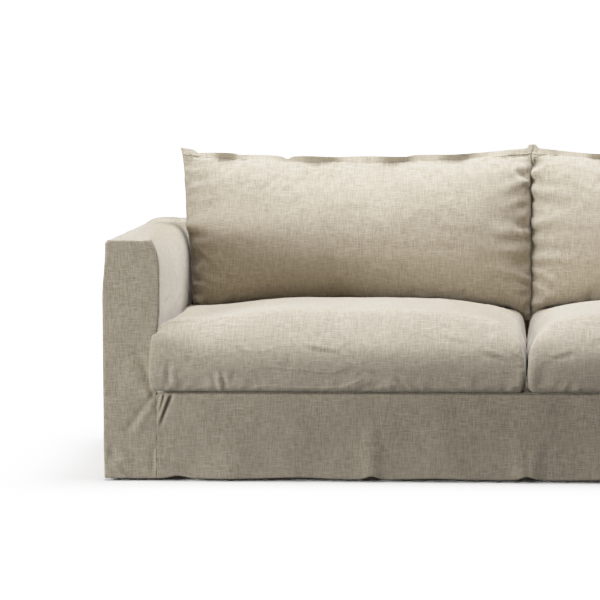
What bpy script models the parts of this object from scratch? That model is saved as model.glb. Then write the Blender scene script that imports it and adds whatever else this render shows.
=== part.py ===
"""Loose linen slipcover of a three-seat sofa, with two seat cushions and two back cushions.

The cover is hollow and open at the floor. Metres, +Z up, front towards -Y. The origin is on the
floor under the middle of the cover. A point is given by how far it lies out from the middle
plane, its depth y and its height z, and the same functions serve the left and the right side.
"""

import math
from collections import namedtuple

import bmesh
import bpy

for leftover in list(bpy.data.objects):
    bpy.data.objects.remove(leftover, do_unlink=True)

# Overall sizes of the covered frame
HALF_WIDTH = 1.134
FRONT_Y = -0.462
REAR_Y = 0.500
ARM_TOP = 0.640
BACK_TOP = 0.647
BACK_FACE_Y = 0.360
DECK_TOP = 0.235

# Cloth
CLOTH = 0.003
SEAM_GAP = 0.0004
HEM_RISE = 0.009
SEAM_STRIP = 0.012
SEAM_FLAT = 0.004

# Arm section: how far out its faces lie, and how round its upper edges are
ARM_INSIDE = 0.978
APRON_SEAM = 0.9895
OUTER_ROUND = 0.018
OUTER_LEAN = 0.009
OUTER_TUCK = 0.004
INNER_ROUND_OUT = 0.034
INNER_ROUND_DROP = 0.090
BACK_ROUND = 0.025
PANEL_END_Z = DECK_TOP - 2 * CLOTH
INSIDE_ROWS = (0.50, 0.46, 0.43, 0.40, 0.37, 0.34, DECK_TOP, PANEL_END_Z)
CORNER_DEPTHS = [BACK_FACE_Y - 0.008, BACK_FACE_Y, BACK_FACE_Y + 0.0075, BACK_FACE_Y + BACK_ROUND]

# Seat cushions
SEAT_FRONT_Y = -0.497
SEAT_REAR_Y = 0.352
SEAT_OUT = 0.984
SEAT_MIDDLE = 0.0015
SEAT_SHIFT = -0.003
SEAT_EDGE_TOP = 0.419
SEAT_CROWN = 0.031
SEAT_FLARE = 0.034
FLARE_END_Y = -0.4695

# Back cushions
PILLOW_FOOT_Z = 0.385
PILLOW_SHIFT = 0.006
PILLOW_SEAM_Y = 0.262
PILLOW_LEAN = 0.026
PILLOW_FRONT = 0.118
PILLOW_REAR = 0.104
PILLOW_EDGE = 0.0035
FLANGE = 0.002
FLANGE_SWAY = 0.006
REST_GAP = 0.0005
PILLOW_CLEAR = 0.004

Fold = namedtuple("Fold", "out0 z0 out1 z1 width lift")
Rise = namedtuple("Rise", "out width height")
SeatRow = namedtuple("SeatRow", "share z side front rear")
EdgeRow = namedtuple("EdgeRow", "z arm_side middle")
TopRow = namedtuple("TopRow", "share seam_z flange_z")
ShoulderRow = namedtuple("ShoulderRow", "inset z")

ARM_FRONT_FOLDS = [
    Fold(0.997, 0.236, 1.066, 0.130, 0.013, -0.0060),
    Fold(0.998, 0.216, 1.063, 0.284, 0.012, 0.0045),
    Fold(1.010, 0.190, 1.045, 0.120, 0.020, 0.0030),
    Fold(1.112, 0.060, 1.085, 0.012, 0.020, -0.0050),
    Fold(1.040, 0.030, 1.010, 0.080, 0.022, 0.0035),
]
APRON_FOLDS = [
    Fold(0.941, 0.222, 0.982, 0.132, 0.010, -0.0090),
    Fold(0.957, 0.224, 0.984, 0.150, 0.009, 0.0090),
    Fold(0.974, 0.224, 0.984, 0.160, 0.007, -0.0050),
    Fold(0.800, 0.000, 0.770, 0.120, 0.050, 0.0050),
    Fold(0.560, 0.010, 0.540, 0.150, 0.060, -0.0040),
    Fold(0.414, 0.000, 0.420, 0.090, 0.030, 0.0060),
    Fold(0.200, 0.010, 0.230, 0.160, 0.060, 0.0040),
    Fold(0.010, 0.000, 0.020, 0.080, 0.024, 0.0060),
]
HEM_RISES = [
    Rise(0.932, 0.026, 0.007),
    Rise(0.620, 0.090, 0.004),
    Rise(0.414, 0.020, 0.009),
    Rise(0.240, 0.070, 0.003),
    Rise(0.000, 0.022, 0.009),
]
SEAT_FOLDS = [
    Fold(0.820, 0.238, 0.812, 0.300, 0.009, -0.0070),
    Fold(0.788, 0.238, 0.778, 0.292, 0.009, -0.0060),
    Fold(0.803, 0.240, 0.796, 0.290, 0.010, 0.0050),
    Fold(0.628, 0.238, 0.640, 0.300, 0.014, -0.0050),
    Fold(0.342, 0.238, 0.350, 0.290, 0.018, -0.0050),
    Fold(0.960, 0.238, 0.966, 0.290, 0.009, -0.0050),
]
SEAT_ROWS = [
    SeatRow(0.00, DECK_TOP + SEAM_GAP, 0.010, 0.018, 0.014),
    SeatRow(0.15, 0.250, 0.001, 0.004, 0.002),
    SeatRow(0.40, 0.300, 0.000, 0.000, 0.000),
    SeatRow(0.68, 0.358, 0.004, 0.006, 0.004),
    SeatRow(0.86, 0.398, 0.014, 0.040, 0.016),
    SeatRow(1.00, SEAT_EDGE_TOP, 0.048, 0.096, 0.050),
]
SEAT_SHOULDER = [ShoulderRow(row.side, row.z) for row in SEAT_ROWS[2:]]
PILLOW_EDGES = [
    EdgeRow(0.380, 0.956, 0.020),
    EdgeRow(0.420, 0.970, 0.009),
    EdgeRow(0.540, 0.973, 0.005),
    EdgeRow(0.640, 0.984, 0.004),
    EdgeRow(0.755, 0.994, 0.005),
    EdgeRow(0.860, 1.006, 0.002),
]
PILLOW_TOP = [
    TopRow(0.00, 0.846, 0.8560),
    TopRow(0.05, 0.835, 0.8490),
    TopRow(0.15, 0.826, 0.8440),
    TopRow(0.18, 0.823, 0.8310),
    TopRow(0.25, 0.822, 0.8390),
    TopRow(0.32, 0.817, 0.8270),
    TopRow(0.36, 0.815, 0.8340),
    TopRow(0.60, 0.812, 0.8340),
    TopRow(0.78, 0.817, 0.8410),
    TopRow(0.95, 0.833, 0.8530),
    TopRow(1.00, 0.848, 0.8680),
]

LINEN = (0.52, 0.47, 0.39, 1.0)
LINEN_SHADE = (0.49, 0.44, 0.365, 1.0)


def smooth(low, high, value):
    """0 below low, 1 above high and a soft S between them."""
    share = min(max((value - low) / (high - low), 0.0), 1.0)
    return share * share * (3 - 2 * share)


def between(low, high, share):
    return low + (high - low) * share


def steps(low, high, count):
    """count equal steps from low to high, both ends included."""
    return [between(low, high, index / count) for index in range(count + 1)]


def read_off(table, at, column):
    """The named column of a table whose first column is the key, blended softly between rows."""
    if at <= table[0][0]:
        return getattr(table[0], column)
    for lower, upper in zip(table, table[1:]):
        if at <= upper[0]:
            share = smooth(lower[0], upper[0], at)
            return between(getattr(lower, column), getattr(upper, column), share)
    return getattr(table[-1], column)


def fold_lift(folds, out, z):
    """How far the cloth stands out at a point, from soft ridges and troughs along straight runs."""
    lift = 0.0
    for fold in folds:
        run_out = fold.out1 - fold.out0
        run_z = fold.z1 - fold.z0
        share = ((out - fold.out0) * run_out + (z - fold.z0) * run_z) / (run_out**2 + run_z**2)
        share = min(max(share, 0.0), 1.0)
        away = math.hypot(out - fold.out0 - share * run_out, z - fold.z0 - share * run_z)
        lift += fold.lift * (1 - 0.6 * share) * math.exp(-((away / fold.width) ** 2))
    return lift


def from_edges(value, low, high):
    """0 in the strip along a seam at low or high, 1 well inside."""
    inside = min(value - low, high - value)
    return smooth(SEAM_STRIP, 4 * SEAM_STRIP, inside)


def hem_z(out):
    """The front hem's height: level, with a few short rises where the cloth is hitched up."""
    lift = sum(rise.height * math.exp(-(((out - rise.out) / rise.width) ** 2)) for rise in HEM_RISES)
    return min(lift, HEM_RISE)


def side_hem_z(y):
    """The hem along the sides and the rear: long shallow waves that end at the corners."""
    wave = math.sin(9.0 * y + 0.6) ** 2 * 0.006
    return wave * from_edges(y, FRONT_Y, REAR_Y)


def outer_face(z):
    lean = OUTER_LEAN * smooth(0.48, ARM_TOP - OUTER_ROUND, z)
    tuck = OUTER_TUCK * (1 - smooth(0.0, 0.12, z))
    return HALF_WIDTH - lean - tuck


def inner_face(z):
    return between(APRON_SEAM, ARM_INSIDE, smooth(0.34, 0.46, z))


def outer_edge(z, top):
    """The outline of a front or rear panel on the outer side, with its round upper corner."""
    corner_z = top - OUTER_ROUND
    if z <= corner_z:
        return outer_face(z)
    side = outer_face(ARM_TOP)
    drop = min((z - corner_z) / OUTER_ROUND, 1.0)
    return side - OUTER_ROUND + OUTER_ROUND * math.sqrt(1 - drop**2)


def inner_edge(z):
    """The outline of an arm front on the side of the seat, with its long soft corner."""
    corner_z = ARM_TOP - INNER_ROUND_DROP
    if z <= corner_z:
        return inner_face(z)
    drop = min((z - corner_z) / INNER_ROUND_DROP, 1.0)
    return ARM_INSIDE + INNER_ROUND_OUT * (1 - math.sqrt(1 - drop**2))


def corner_rise(y):
    """The back is a little higher than the arm, and lifts the cover where they meet."""
    return (BACK_TOP - ARM_TOP) * smooth(BACK_FACE_Y - 0.008, BACK_FACE_Y + 0.008, y)


def back_edge_z(y):
    """Height of the back's rounded upper front edge at a depth y behind the back's face."""
    if y < BACK_FACE_Y:
        return 0.0
    reach = min((y - BACK_FACE_Y) / BACK_ROUND, 1.0)
    return BACK_TOP - BACK_ROUND + BACK_ROUND * math.sqrt(1 - (1 - reach) ** 2)


def new_material(name, colour):
    material = bpy.data.materials.new(name)
    material.use_nodes = True
    shader = material.node_tree.nodes["Principled BSDF"]
    shader.inputs["Base Color"].default_value = colour
    shader.inputs["Roughness"].default_value = 0.9
    shader.inputs["Metallic"].default_value = 0.0
    return material


def new_object(name, mesh_data, colour):
    data = bpy.data.meshes.new(name)
    mesh_data.to_mesh(data)
    mesh_data.free()
    data.shade_smooth()
    piece = bpy.data.objects.new(name, data)
    data.materials.append(new_material(name + "_linen", colour))
    collection.objects.link(piece)
    return piece


def cloth_panel(name, columns, rows, place, outward, colour=LINEN, left_out=None):
    """A sheet of cloth. columns and rows are the grid's lines in the panel's own measures, place
    turns them into a point of the outer face, and left_out names the cells that aren't cut."""
    mesh = bmesh.new()
    bmesh.ops.create_grid(mesh, x_segments=len(columns) - 1, y_segments=len(rows) - 1, size=0.5)
    cells = {}
    for vertex in mesh.verts:
        column = round((vertex.co.x + 0.5) * (len(columns) - 1))
        row = round((vertex.co.y + 0.5) * (len(rows) - 1))
        cells[vertex] = (column, row)
        vertex.co = place(columns[column], rows[row])
    if left_out:
        spare = [vertex for vertex, (column, row) in cells.items() if left_out(column, row)]
        bmesh.ops.delete(mesh, geom=spare, context="VERTS")
    mesh.normal_update()
    facing = sum(
        sum(part * way for part, way in zip(face.normal, outward)) * face.calc_area()
        for face in mesh.faces
    )
    if facing < 0:
        bmesh.ops.reverse_faces(mesh, faces=mesh.faces[:])
    piece = new_object(name, mesh, colour)
    thickness = piece.modifiers.new("cloth", "SOLIDIFY")
    thickness.thickness = CLOTH
    thickness.offset = -1
    return piece


def soft_cage(cuts):
    """A cube from -1 to 1 with its edges cut into the given numbers of pieces along X, Y and Z."""
    mesh = bmesh.new()
    bmesh.ops.create_cube(mesh, size=2)
    for axis, pieces in enumerate(cuts):
        along = [
            edge for edge in mesh.edges
            if abs(edge.verts[0].co[axis] - edge.verts[1].co[axis]) > 1
        ]
        if pieces > 1:
            bmesh.ops.subdivide_edges(mesh, edges=along, cuts=pieces - 1, use_grid_fill=True)
    return mesh


def arm_front(side, label):
    """The panel that closes the arm's front. Its upper corners follow the arm's section."""
    corner_z = ARM_TOP - OUTER_ROUND
    long_corner_z = ARM_TOP - INNER_ROUND_DROP
    heights = steps(0.0, 0.30, 12) + [0.34, 0.40, 0.46, long_corner_z, 0.585]
    heights += [corner_z - 0.006, corner_z, corner_z + 0.010, corner_z + 0.0155, ARM_TOP]

    def place(share, z):
        inside = inner_edge(z)
        outside = outer_edge(z, ARM_TOP)
        out = between(inside, outside, share)
        lift = fold_lift(ARM_FRONT_FOLDS, out, z) * smooth(SEAM_FLAT, 0.018, out - inside)
        lift *= smooth(0.0, 0.03, outside - out) * smooth(0.0, 0.03, ARM_TOP - z)
        hem = hem_z(out) * (1 - smooth(0.0, 0.1, z))
        return (side * out, FRONT_Y - lift, z + hem * from_edges(out, inside, outside))

    flat = SEAM_FLAT / (HALF_WIDTH - APRON_SEAM)
    shares = [0.0, flat, 0.09, 0.16, 0.24, 0.32, 0.40, 0.49, 0.58, 0.68, 0.78, 0.88, 1 - flat, 1.0]
    cloth_panel(f"arm_front_{label}", shares, heights, place, (0, -1, 0))


def arm_outer(side, label):
    """The outer side, from the hem to the seam under the arm's round top edge."""
    front = FRONT_Y + CLOTH + SEAM_GAP
    rear = REAR_Y - CLOTH - SEAM_GAP
    depths = [front, front + SEAM_STRIP] + steps(front + 0.06, 0.30, 6)
    depths += CORNER_DEPTHS + [0.44, rear - SEAM_STRIP, rear]

    def place(y, share):
        seam_z = ARM_TOP - OUTER_ROUND - SEAM_FLAT - SEAM_GAP + corner_rise(y)
        z = between(side_hem_z(y), seam_z, share)
        sag = 0.006 * math.sin(7.5 * y + 0.8) * (1 - share) ** 1.5
        lift = (sag + 0.003 * math.sin(17 * y + 5 * share)) * from_edges(y, front, rear)
        lift *= smooth(0.0, 0.25, 1 - share)
        return (side * (outer_face(z) + min(lift, 0.003)), y, z)

    shares = [0.0, 0.08, 0.2, 0.35, 0.5, 0.65, 0.8, 0.9, 0.97, 1.0]
    cloth_panel(f"arm_outer_{label}", depths, shares, place, (side, 0, 0))


def arm_path():
    """Points of the arm's section from the outer seam over the top and down the inside, and how
    many of them lie above the inner side."""
    side = outer_face(ARM_TOP)
    corner_z = ARM_TOP - OUTER_ROUND
    path = [(side, corner_z - SEAM_FLAT)]
    for turn in steps(0, 90, 4):
        angle = math.radians(turn)
        path.append((
            side - OUTER_ROUND + OUTER_ROUND * math.cos(angle),
            corner_z + OUTER_ROUND * math.sin(angle),
        ))
    inner_start = ARM_INSIDE + INNER_ROUND_OUT
    path += [(between(side - OUTER_ROUND, inner_start, share), ARM_TOP) for share in (0.33, 0.67)]
    for turn in steps(90, 0, 6):
        angle = math.radians(turn)
        path.append((
            inner_start - INNER_ROUND_OUT * math.cos(angle),
            ARM_TOP - INNER_ROUND_DROP + INNER_ROUND_DROP * math.sin(angle),
        ))
    above = len(path)
    path += [(inner_face(z), z) for z in INSIDE_ROWS]
    return path, above


def arm_inner(side, label):
    """Arm top and arm inside in one piece. Behind the back's face only its top runs on, and is
    lifted to the height of the back."""
    front = FRONT_Y + CLOTH + SEAM_GAP
    rear = REAR_Y - CLOTH - SEAM_GAP
    path, above = arm_path()
    depths = [front, front + SEAM_STRIP] + steps(front + 0.07, 0.28, 4)
    depths += CORNER_DEPTHS + [0.44, rear - SEAM_STRIP, rear]
    last_inner_depth = depths.index(CORNER_DEPTHS[2])

    def place(y, number):
        out, z = path[number]
        if number < above:
            z = max(z + corner_rise(y), back_edge_z(y))
            crown = 0.003 * math.sin(math.pi * min(max((out - 1.0) / 0.11, 0.0), 1.0))
            z += crown * from_edges(y, front, BACK_FACE_Y)
        else:
            out -= 0.002 * smooth(0.38, 0.46, z) * from_edges(y, front, 0.16)
        return (side * out, y, z)

    def left_out(row, number):
        return number >= above and row > last_inner_depth

    cloth_panel(
        f"arm_inner_{label}", depths, list(range(len(path))), place, (-0.5 * side, 0, 1),
        left_out=left_out,
    )


def front_apron():
    """The skirt between the arm fronts, with pleats where the arm and the seat crowd it."""
    limit = APRON_SEAM - SEAM_GAP
    corner = [limit, limit - SEAM_FLAT, 0.977, 0.969, 0.961, 0.953, 0.945, 0.935, 0.922, 0.900, 0.870]
    columns = [-out for out in corner] + steps(-0.82, 0.82, 24) + corner[::-1]
    top = DECK_TOP - CLOTH - SEAM_GAP

    def place(x, share):
        out = abs(x)
        z = between(0.0, top, share)
        lift = fold_lift(APRON_FOLDS, out, z) * smooth(SEAM_FLAT, 0.012, limit - out)
        lift *= smooth(0.0, 0.02, top - z)
        hem = hem_z(out) * (1 - share) ** 2 * smooth(0.0, 0.03, limit - out)
        return (x, FRONT_Y - lift, z + hem)

    shares = [0.0, 0.12, 0.3, 0.5, 0.68, 0.85, 1.0]
    cloth_panel("front_apron", columns, shares, place, (0, -1, 0), colour=LINEN_SHADE)


def deck():
    """The seat platform's cloth, stretched level under the cushions."""
    limit = APRON_SEAM - SEAM_GAP
    columns = steps(-limit, limit, 8)
    depths = steps(FRONT_Y, BACK_FACE_Y - SEAM_GAP, 4)
    cloth_panel("deck", columns, depths, lambda x, y: (x, y, DECK_TOP), (0, 0, 1))


def back_inside():
    """Inside back and the top of the low back in one piece, between the arms."""
    rear = REAR_Y - CLOTH - SEAM_GAP
    route = [(BACK_FACE_Y, z) for z in INSIDE_ROWS[::-1] + (ARM_TOP - INNER_ROUND_DROP,)]
    for turn in steps(0, 90, 4):
        angle = math.radians(turn)
        route.append((
            BACK_FACE_Y + BACK_ROUND * (1 - math.cos(angle)),
            BACK_TOP - BACK_ROUND + BACK_ROUND * math.sin(angle),
        ))
    route += [(0.44, BACK_TOP), (rear - SEAM_STRIP, BACK_TOP), (rear, BACK_TOP)]

    def place(share, number):
        y, z = route[number]
        limit = inner_edge(min(z, ARM_TOP - INNER_ROUND_DROP)) - SEAM_GAP
        return (share * limit, y, z)

    cloth_panel("back_inside", steps(-1, 1, 10), list(range(len(route))), place, (0, -1, 1))


def back_outside():
    """The rear panel, full width, from the back's top seam to the floor."""
    corner_z = BACK_TOP - OUTER_ROUND
    heights = [0.0, 0.06, 0.15, 0.27, 0.40, 0.52, 0.60, corner_z, corner_z + 0.010]
    heights += [corner_z + 0.0155, BACK_TOP]

    def place(share, z):
        limit = outer_edge(z, BACK_TOP)
        x = share * limit
        fade = from_edges(x, -limit, limit) * smooth(0.0, 0.2, BACK_TOP - z)
        wave = 0.004 * math.sin(6.3 * x + 0.4) * (1 - z) + 0.003 * math.sin(15 * x + 9 * z)
        hem = 0.006 * math.sin(5.1 * x + 1.1) ** 2 * (1 - smooth(0.0, 0.1, z))
        return (x, REAR_Y + min(wave, 0.0) * fade, z + hem * from_edges(x, -limit, limit))

    shares = [-1.0, -0.985] + steps(-0.93, 0.93, 20) + [0.985, 1.0]
    cloth_panel("back_outside", shares, heights, place, (0, 1, 0))


def seat_top(share, depth):
    """How far the crown rises over the cushion's upper edge, for -1 to 1 across and in depth."""
    return SEAT_CROWN * (1 - abs(share) ** 3.2) * (1 - abs(depth + 0.12) ** 3.0 / 1.4)


def seat_cushion(side, label):
    """A filled cushion with a crown and drawn-in sides. Its front stands proud of the arms, and
    its corner bulges over the arm front."""
    mesh = soft_cage((12, 9, len(SEAT_ROWS) - 1))
    centre_out = (SEAT_OUT + SEAT_MIDDLE) / 2
    half_out = (SEAT_OUT - SEAT_MIDDLE) / 2
    lengthwise = [-1.0, 1 - 2 * (SEAT_REAR_Y - FLARE_END_Y) / (SEAT_REAR_Y - SEAT_FRONT_Y)]
    lengthwise += [-0.80, -0.56, -0.28, 0.0, 0.28, 0.56, 0.82, 1.0]
    crosswise = [-1.0, -0.93, -0.80, -0.62, -0.42, -0.21, 0.0, 0.21, 0.42, 0.62, 0.80, 0.93, 1.0]
    for vertex in mesh.verts:
        across = crosswise[round((vertex.co.x + 1) * 6)]
        depth = lengthwise[round((vertex.co.y + 1) * 4.5)]
        row = SEAT_ROWS[round((vertex.co.z + 1) / 2 * (len(SEAT_ROWS) - 1))]
        front = SEAT_FRONT_Y + row.front
        rear = SEAT_REAR_Y - row.rear
        y = between(front, rear, (depth + 1) / 2)
        out = centre_out + across * (half_out - row.side)
        z = row.z
        if row is SEAT_ROWS[-1]:
            z += seat_top(across, depth)
        if depth == -1.0:
            z -= 0.004 * (1 - across**2) if row is SEAT_ROWS[0] else 0.0
            belly = math.sin(math.pi * row.share) * (1 - 0.4 * across**4)
            y -= fold_lift(SEAT_FOLDS, out, z) + 0.006 * belly
            if across == 1.0:
                out += SEAT_FLARE * math.sin(math.pi * min(row.share * 1.15, 1.0)) ** 0.5
        z = max(z, DECK_TOP + SEAM_GAP)
        out += side * SEAT_SHIFT * (1 - across) / 2
        vertex.co = (side * out, y, z)
    if side < 0:
        bmesh.ops.reverse_faces(mesh, faces=mesh.faces[:])
    piece = new_object(f"seat_cushion_{label}", mesh, LINEN)
    soften = piece.modifiers.new("soften", "SUBSURF")
    soften.levels = 1
    soften.render_levels = 1


def seat_surface_z(out, y):
    """Height of the seat cushion's top and round shoulders, a little above the real surface."""
    centre_out = (SEAT_OUT + SEAT_MIDDLE) / 2
    half_out = (SEAT_OUT - SEAT_MIDDLE) / 2 - SEAT_ROWS[-1].side
    front = SEAT_FRONT_Y + SEAT_ROWS[-1].front
    rear = SEAT_REAR_Y - SEAT_ROWS[-1].rear
    share = min(max((out - centre_out) / half_out, -1.0), 1.0)
    depth = min(max(2 * (y - front) / (rear - front) - 1, -1.0), 1.0)
    shoulder = read_off(SEAT_SHOULDER, min(SEAT_OUT - out, out - SEAT_MIDDLE), "z")
    return shoulder + seat_top(share, depth)


def pillow_height(share, level):
    """Height of a point of a back cushion: level runs from 0 at the foot to 1 at the top seam."""
    top = read_off(PILLOW_TOP, share, "seam_z")
    return between(PILLOW_FOOT_Z, top, level)


def pillow_swell(across, level):
    """Fullness of the cushion, 0 at its seams and 1 where it is fattest, low in the middle."""
    sides = (1 - abs(across) ** 3.4) ** 0.55
    height = max(level, 0.0) ** 0.62 * max(1 - level, 0.0) ** 0.62 * 2.2
    low = 1.08 - 0.25 * level
    return min(sides * height * low, 1.0)


def back_cushion(side, label):
    """A filled cushion of two sheets, drawn in along its side seams. The sheets run on past the
    top seam as a flat wavy flange."""
    body_rows = 14
    flange_rows = 2
    rows = body_rows + flange_rows
    columns = 24
    mesh = soft_cage((columns, 1, rows))
    for vertex in mesh.verts:
        across = math.sin(vertex.co.x * math.pi / 2) * 0.55 + vertex.co.x * 0.45
        share = (1 - across) / 2
        row = round((vertex.co.z + 1) / 2 * rows)
        front_sheet = vertex.co.y < 0
        level = 0.5 - 0.5 * math.cos(math.pi * min(row / body_rows, 1.0))
        z = pillow_height(share, level)
        seam_y = PILLOW_SEAM_Y + PILLOW_LEAN * level
        swell = pillow_swell(across, level)
        edge = PILLOW_EDGE
        if row >= body_rows:
            edge = FLANGE
            reach = (row - body_rows) / flange_rows
            z = between(z, read_off(PILLOW_TOP, share, "flange_z"), reach)
            sway = math.sin(11 * across + 1.0) + 0.6 * math.sin(23 * across)
            seam_y += FLANGE_SWAY * sway * reach
            swell = 0.0
        arm_out = read_off(PILLOW_EDGES, z, "arm_side")
        middle_out = read_off(PILLOW_EDGES, z, "middle") + side * PILLOW_SHIFT
        out = between(middle_out, arm_out, (across + 1) / 2)
        pleat = 0.006 * math.sin(55 * z + 2.0) * abs(across) ** 12 * swell ** 0.5
        if front_sheet:
            y = seam_y - edge - PILLOW_FRONT * swell - pleat
        else:
            y = seam_y + edge + PILLOW_REAR * swell
            if z < BACK_TOP + 0.02:
                y = min(y, BACK_FACE_Y - REST_GAP)
        if level < 0.3:
            z = max(z, seat_surface_z(out, y) + PILLOW_CLEAR)
        vertex.co = (side * out, y, z)
    if side < 0:
        bmesh.ops.reverse_faces(mesh, faces=mesh.faces[:])
    new_object(f"back_cushion_{label}", mesh, LINEN)


collection = bpy.data.collections.new("sofa_slipcover")
bpy.context.scene.collection.children.link(collection)

for side, label in ((-1, "left"), (1, "right")):
    arm_front(side, label)
    arm_outer(side, label)
    arm_inner(side, label)
    seat_cushion(side, label)
    back_cushion(side, label)
front_apron()
deck()
back_inside()
back_outside()
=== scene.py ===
# Loose linen slipcover of a three-seat sofa: cloth panels, filled cushions and their finish.
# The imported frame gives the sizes. Metres, +Z up, front towards -Y. "out" is the distance from
# the middle plane, so the same functions serve the left side (side -1) and the right (side 1).

import math
from collections import namedtuple

import bmesh
import bpy
import numpy as np
from mathutils import Matrix, Vector, noise


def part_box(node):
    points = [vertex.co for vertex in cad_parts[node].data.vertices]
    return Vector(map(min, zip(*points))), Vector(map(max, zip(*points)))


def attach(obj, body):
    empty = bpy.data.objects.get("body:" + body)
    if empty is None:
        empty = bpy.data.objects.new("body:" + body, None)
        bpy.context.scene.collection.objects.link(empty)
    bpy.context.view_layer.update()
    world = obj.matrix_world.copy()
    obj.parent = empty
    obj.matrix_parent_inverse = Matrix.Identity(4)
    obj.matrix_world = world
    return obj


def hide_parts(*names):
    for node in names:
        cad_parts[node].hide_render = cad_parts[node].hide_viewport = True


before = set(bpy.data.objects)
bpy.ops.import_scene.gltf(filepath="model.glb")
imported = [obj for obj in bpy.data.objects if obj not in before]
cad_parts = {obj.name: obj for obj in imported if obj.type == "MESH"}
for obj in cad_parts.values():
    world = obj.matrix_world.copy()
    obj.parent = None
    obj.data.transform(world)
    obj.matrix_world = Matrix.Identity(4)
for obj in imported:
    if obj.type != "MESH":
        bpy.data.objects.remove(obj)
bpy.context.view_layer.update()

sofa = {
    "halfWidth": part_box("arm_front_right")[1].x,
    "armTop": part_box("arm_front_right")[1].z,
    "frontY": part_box("deck")[0].y,
    "rearY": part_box("back_outside")[1].y,
    "deckTop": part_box("deck")[1].z,
    "backTop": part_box("back_inside")[1].z,
    "backFaceY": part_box("back_inside")[0].y,
}
cloth = {
    "thickness": 0.0018,
    "seamGap": 0.0003,
    "edgeGap": 0.0004,  # a front or rear panel's outline stays inside its neighbours' faces
    "topGap": 0.0006,
    "seamDip": 0.0008,  # how far a panel's edge is drawn in at a seam
    "topSeamDip": 0.7,  # share of it at the seam along the arm's top
    "dipReach": 0.004,
    "cornerRound": 0.006,  # round of the upright corners between panels
    "edgeCell": 0.0015,  # spacing of the grid lines along an edge, and how far it goes
    "edgeBand": 0.006,
    "outlinePoints": 160,
}
panelFrontY = sofa["frontY"] + cloth["cornerRound"]
panelRearY = sofa["rearY"] - cloth["cornerRound"]
hair = 1e-6  # keeps a comparison clear of rounding

Fold = namedtuple("Fold", "out0 z0 out1 z1 width lift")
Crease = namedtuple("Crease", "x0 z0 x1 z1 width lift trough bow")
Gathers = namedtuple("Gathers", "start end gap length width lean lift seed")
Rise = namedtuple("Rise", "out width height")


# shapes in formulas

def soft(low, high, value):  # 0 below low, 1 above high, a soft S between them
    share = np.clip((value - low) / (high - low), 0, 1)
    return share * share * (3 - 2 * share)


def blend(low, high, share):
    return low + (high - low) * share


def lines(*stops):  # grid lines from stop to stop: each stop is a place and the spacing after it
    found = []
    for (low, gap), (high, _) in zip(stops, stops[1:]):
        count = max(1, round((high - low) / gap))
        found.append(np.linspace(low, high, count, endpoint=False))
    return np.concatenate(found + [[stops[-1][0]]])


def rings(radius):  # insets from an outline at which a rounded edge is cut, outermost first
    turn = np.radians(np.arange(90, -1, -15))
    return radius * (1 - np.sin(turn))


def alongPath(path):  # the way from the first point of a path to each of its points
    return np.concatenate([[0], np.cumsum(np.hypot(*np.diff(path, axis=0).T))])


def rollDepth(away, radius):  # how far a rounded edge lies behind its face
    left = radius - np.clip(away, 0, radius)
    return radius - np.sqrt(np.maximum(radius**2 - left**2, 0))


def seamDip(away):  # the little valley along a seam
    return cloth["seamDip"] * np.exp(-((np.maximum(away, 0) / cloth["dipReach"]) ** 2))


def unevenness(points, size, seed):  # soft noise over the points, about -1 to 1
    places = np.asarray(points) / size + seed * ridge["seedStep"]
    return np.array([noise.noise(Vector(place)) for place in places])


def rumpled(points, layers, side=0):  # each layer has its height, the size of its waves and its seed
    return sum(high * unevenness(points, size, seed + side) for high, size, seed in layers)


def curve(xs, ys):  # a smooth line through points that never overshoots them
    xs = np.array(xs, float)
    ys = np.array(ys, float)
    steps = np.diff(xs)
    slopes = np.diff(ys) / steps
    inner = np.where(slopes[1:] * slopes[:-1] > 0, 2 * slopes[1:] * slopes[:-1], 0)
    inner = inner / np.where(inner != 0, slopes[1:] + slopes[:-1], 1)
    tangents = np.concatenate([slopes[:1], inner, slopes[-1:]])

    def read(x):
        x = np.clip(x, xs[0], xs[-1])
        i = np.clip(np.searchsorted(xs, x) - 1, 0, len(steps) - 1)
        t = (x - xs[i]) / steps[i]
        low = (1 + 2 * t) * (1 - t) ** 2 * ys[i] + t * (1 - t) ** 2 * steps[i] * tangents[i]
        high = t**2 * (3 - 2 * t) * ys[i + 1] + t**2 * (t - 1) * steps[i] * tangents[i + 1]
        return low + high

    return read


ridge = {  # how folds, creases and gathers run out, and the trough beside a sharper ridge
    "seedStep": 7.31,
    "foldFade": 0.6,  # share of a fold's height that is lost at its far end
    "creaseStart": (-0.12, 0.22),
    "creaseEnd": (-0.15, 0.45),
    "troughAway": 1.6,  # in widths of the ridge
    "crumpleTrough": 0.5,
    "crumplePatch": (-0.25, 0.35),
    "crumplePatchSize": 0.35,
    "gatherTrough": 0.6,
    "gatherTroughAway": 1.7,
    "gatherSpread": 0.8,
    "gatherFade": 1.6,
    "leastGather": 0.35,
}


def foldLift(folds, out, z):  # soft ridges and troughs along straight runs
    lift = np.zeros_like(out)
    for fold in folds:
        runOut = fold.out1 - fold.out0
        runZ = fold.z1 - fold.z0
        share = ((out - fold.out0) * runOut + (z - fold.z0) * runZ) / (runOut**2 + runZ**2)
        share = np.clip(share, 0, 1)
        away = np.hypot(out - fold.out0 - share * runOut, z - fold.z0 - share * runZ)
        lift += fold.lift * (1 - ridge["foldFade"] * share) * np.exp(-((away / fold.width) ** 2))
    return lift


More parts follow.
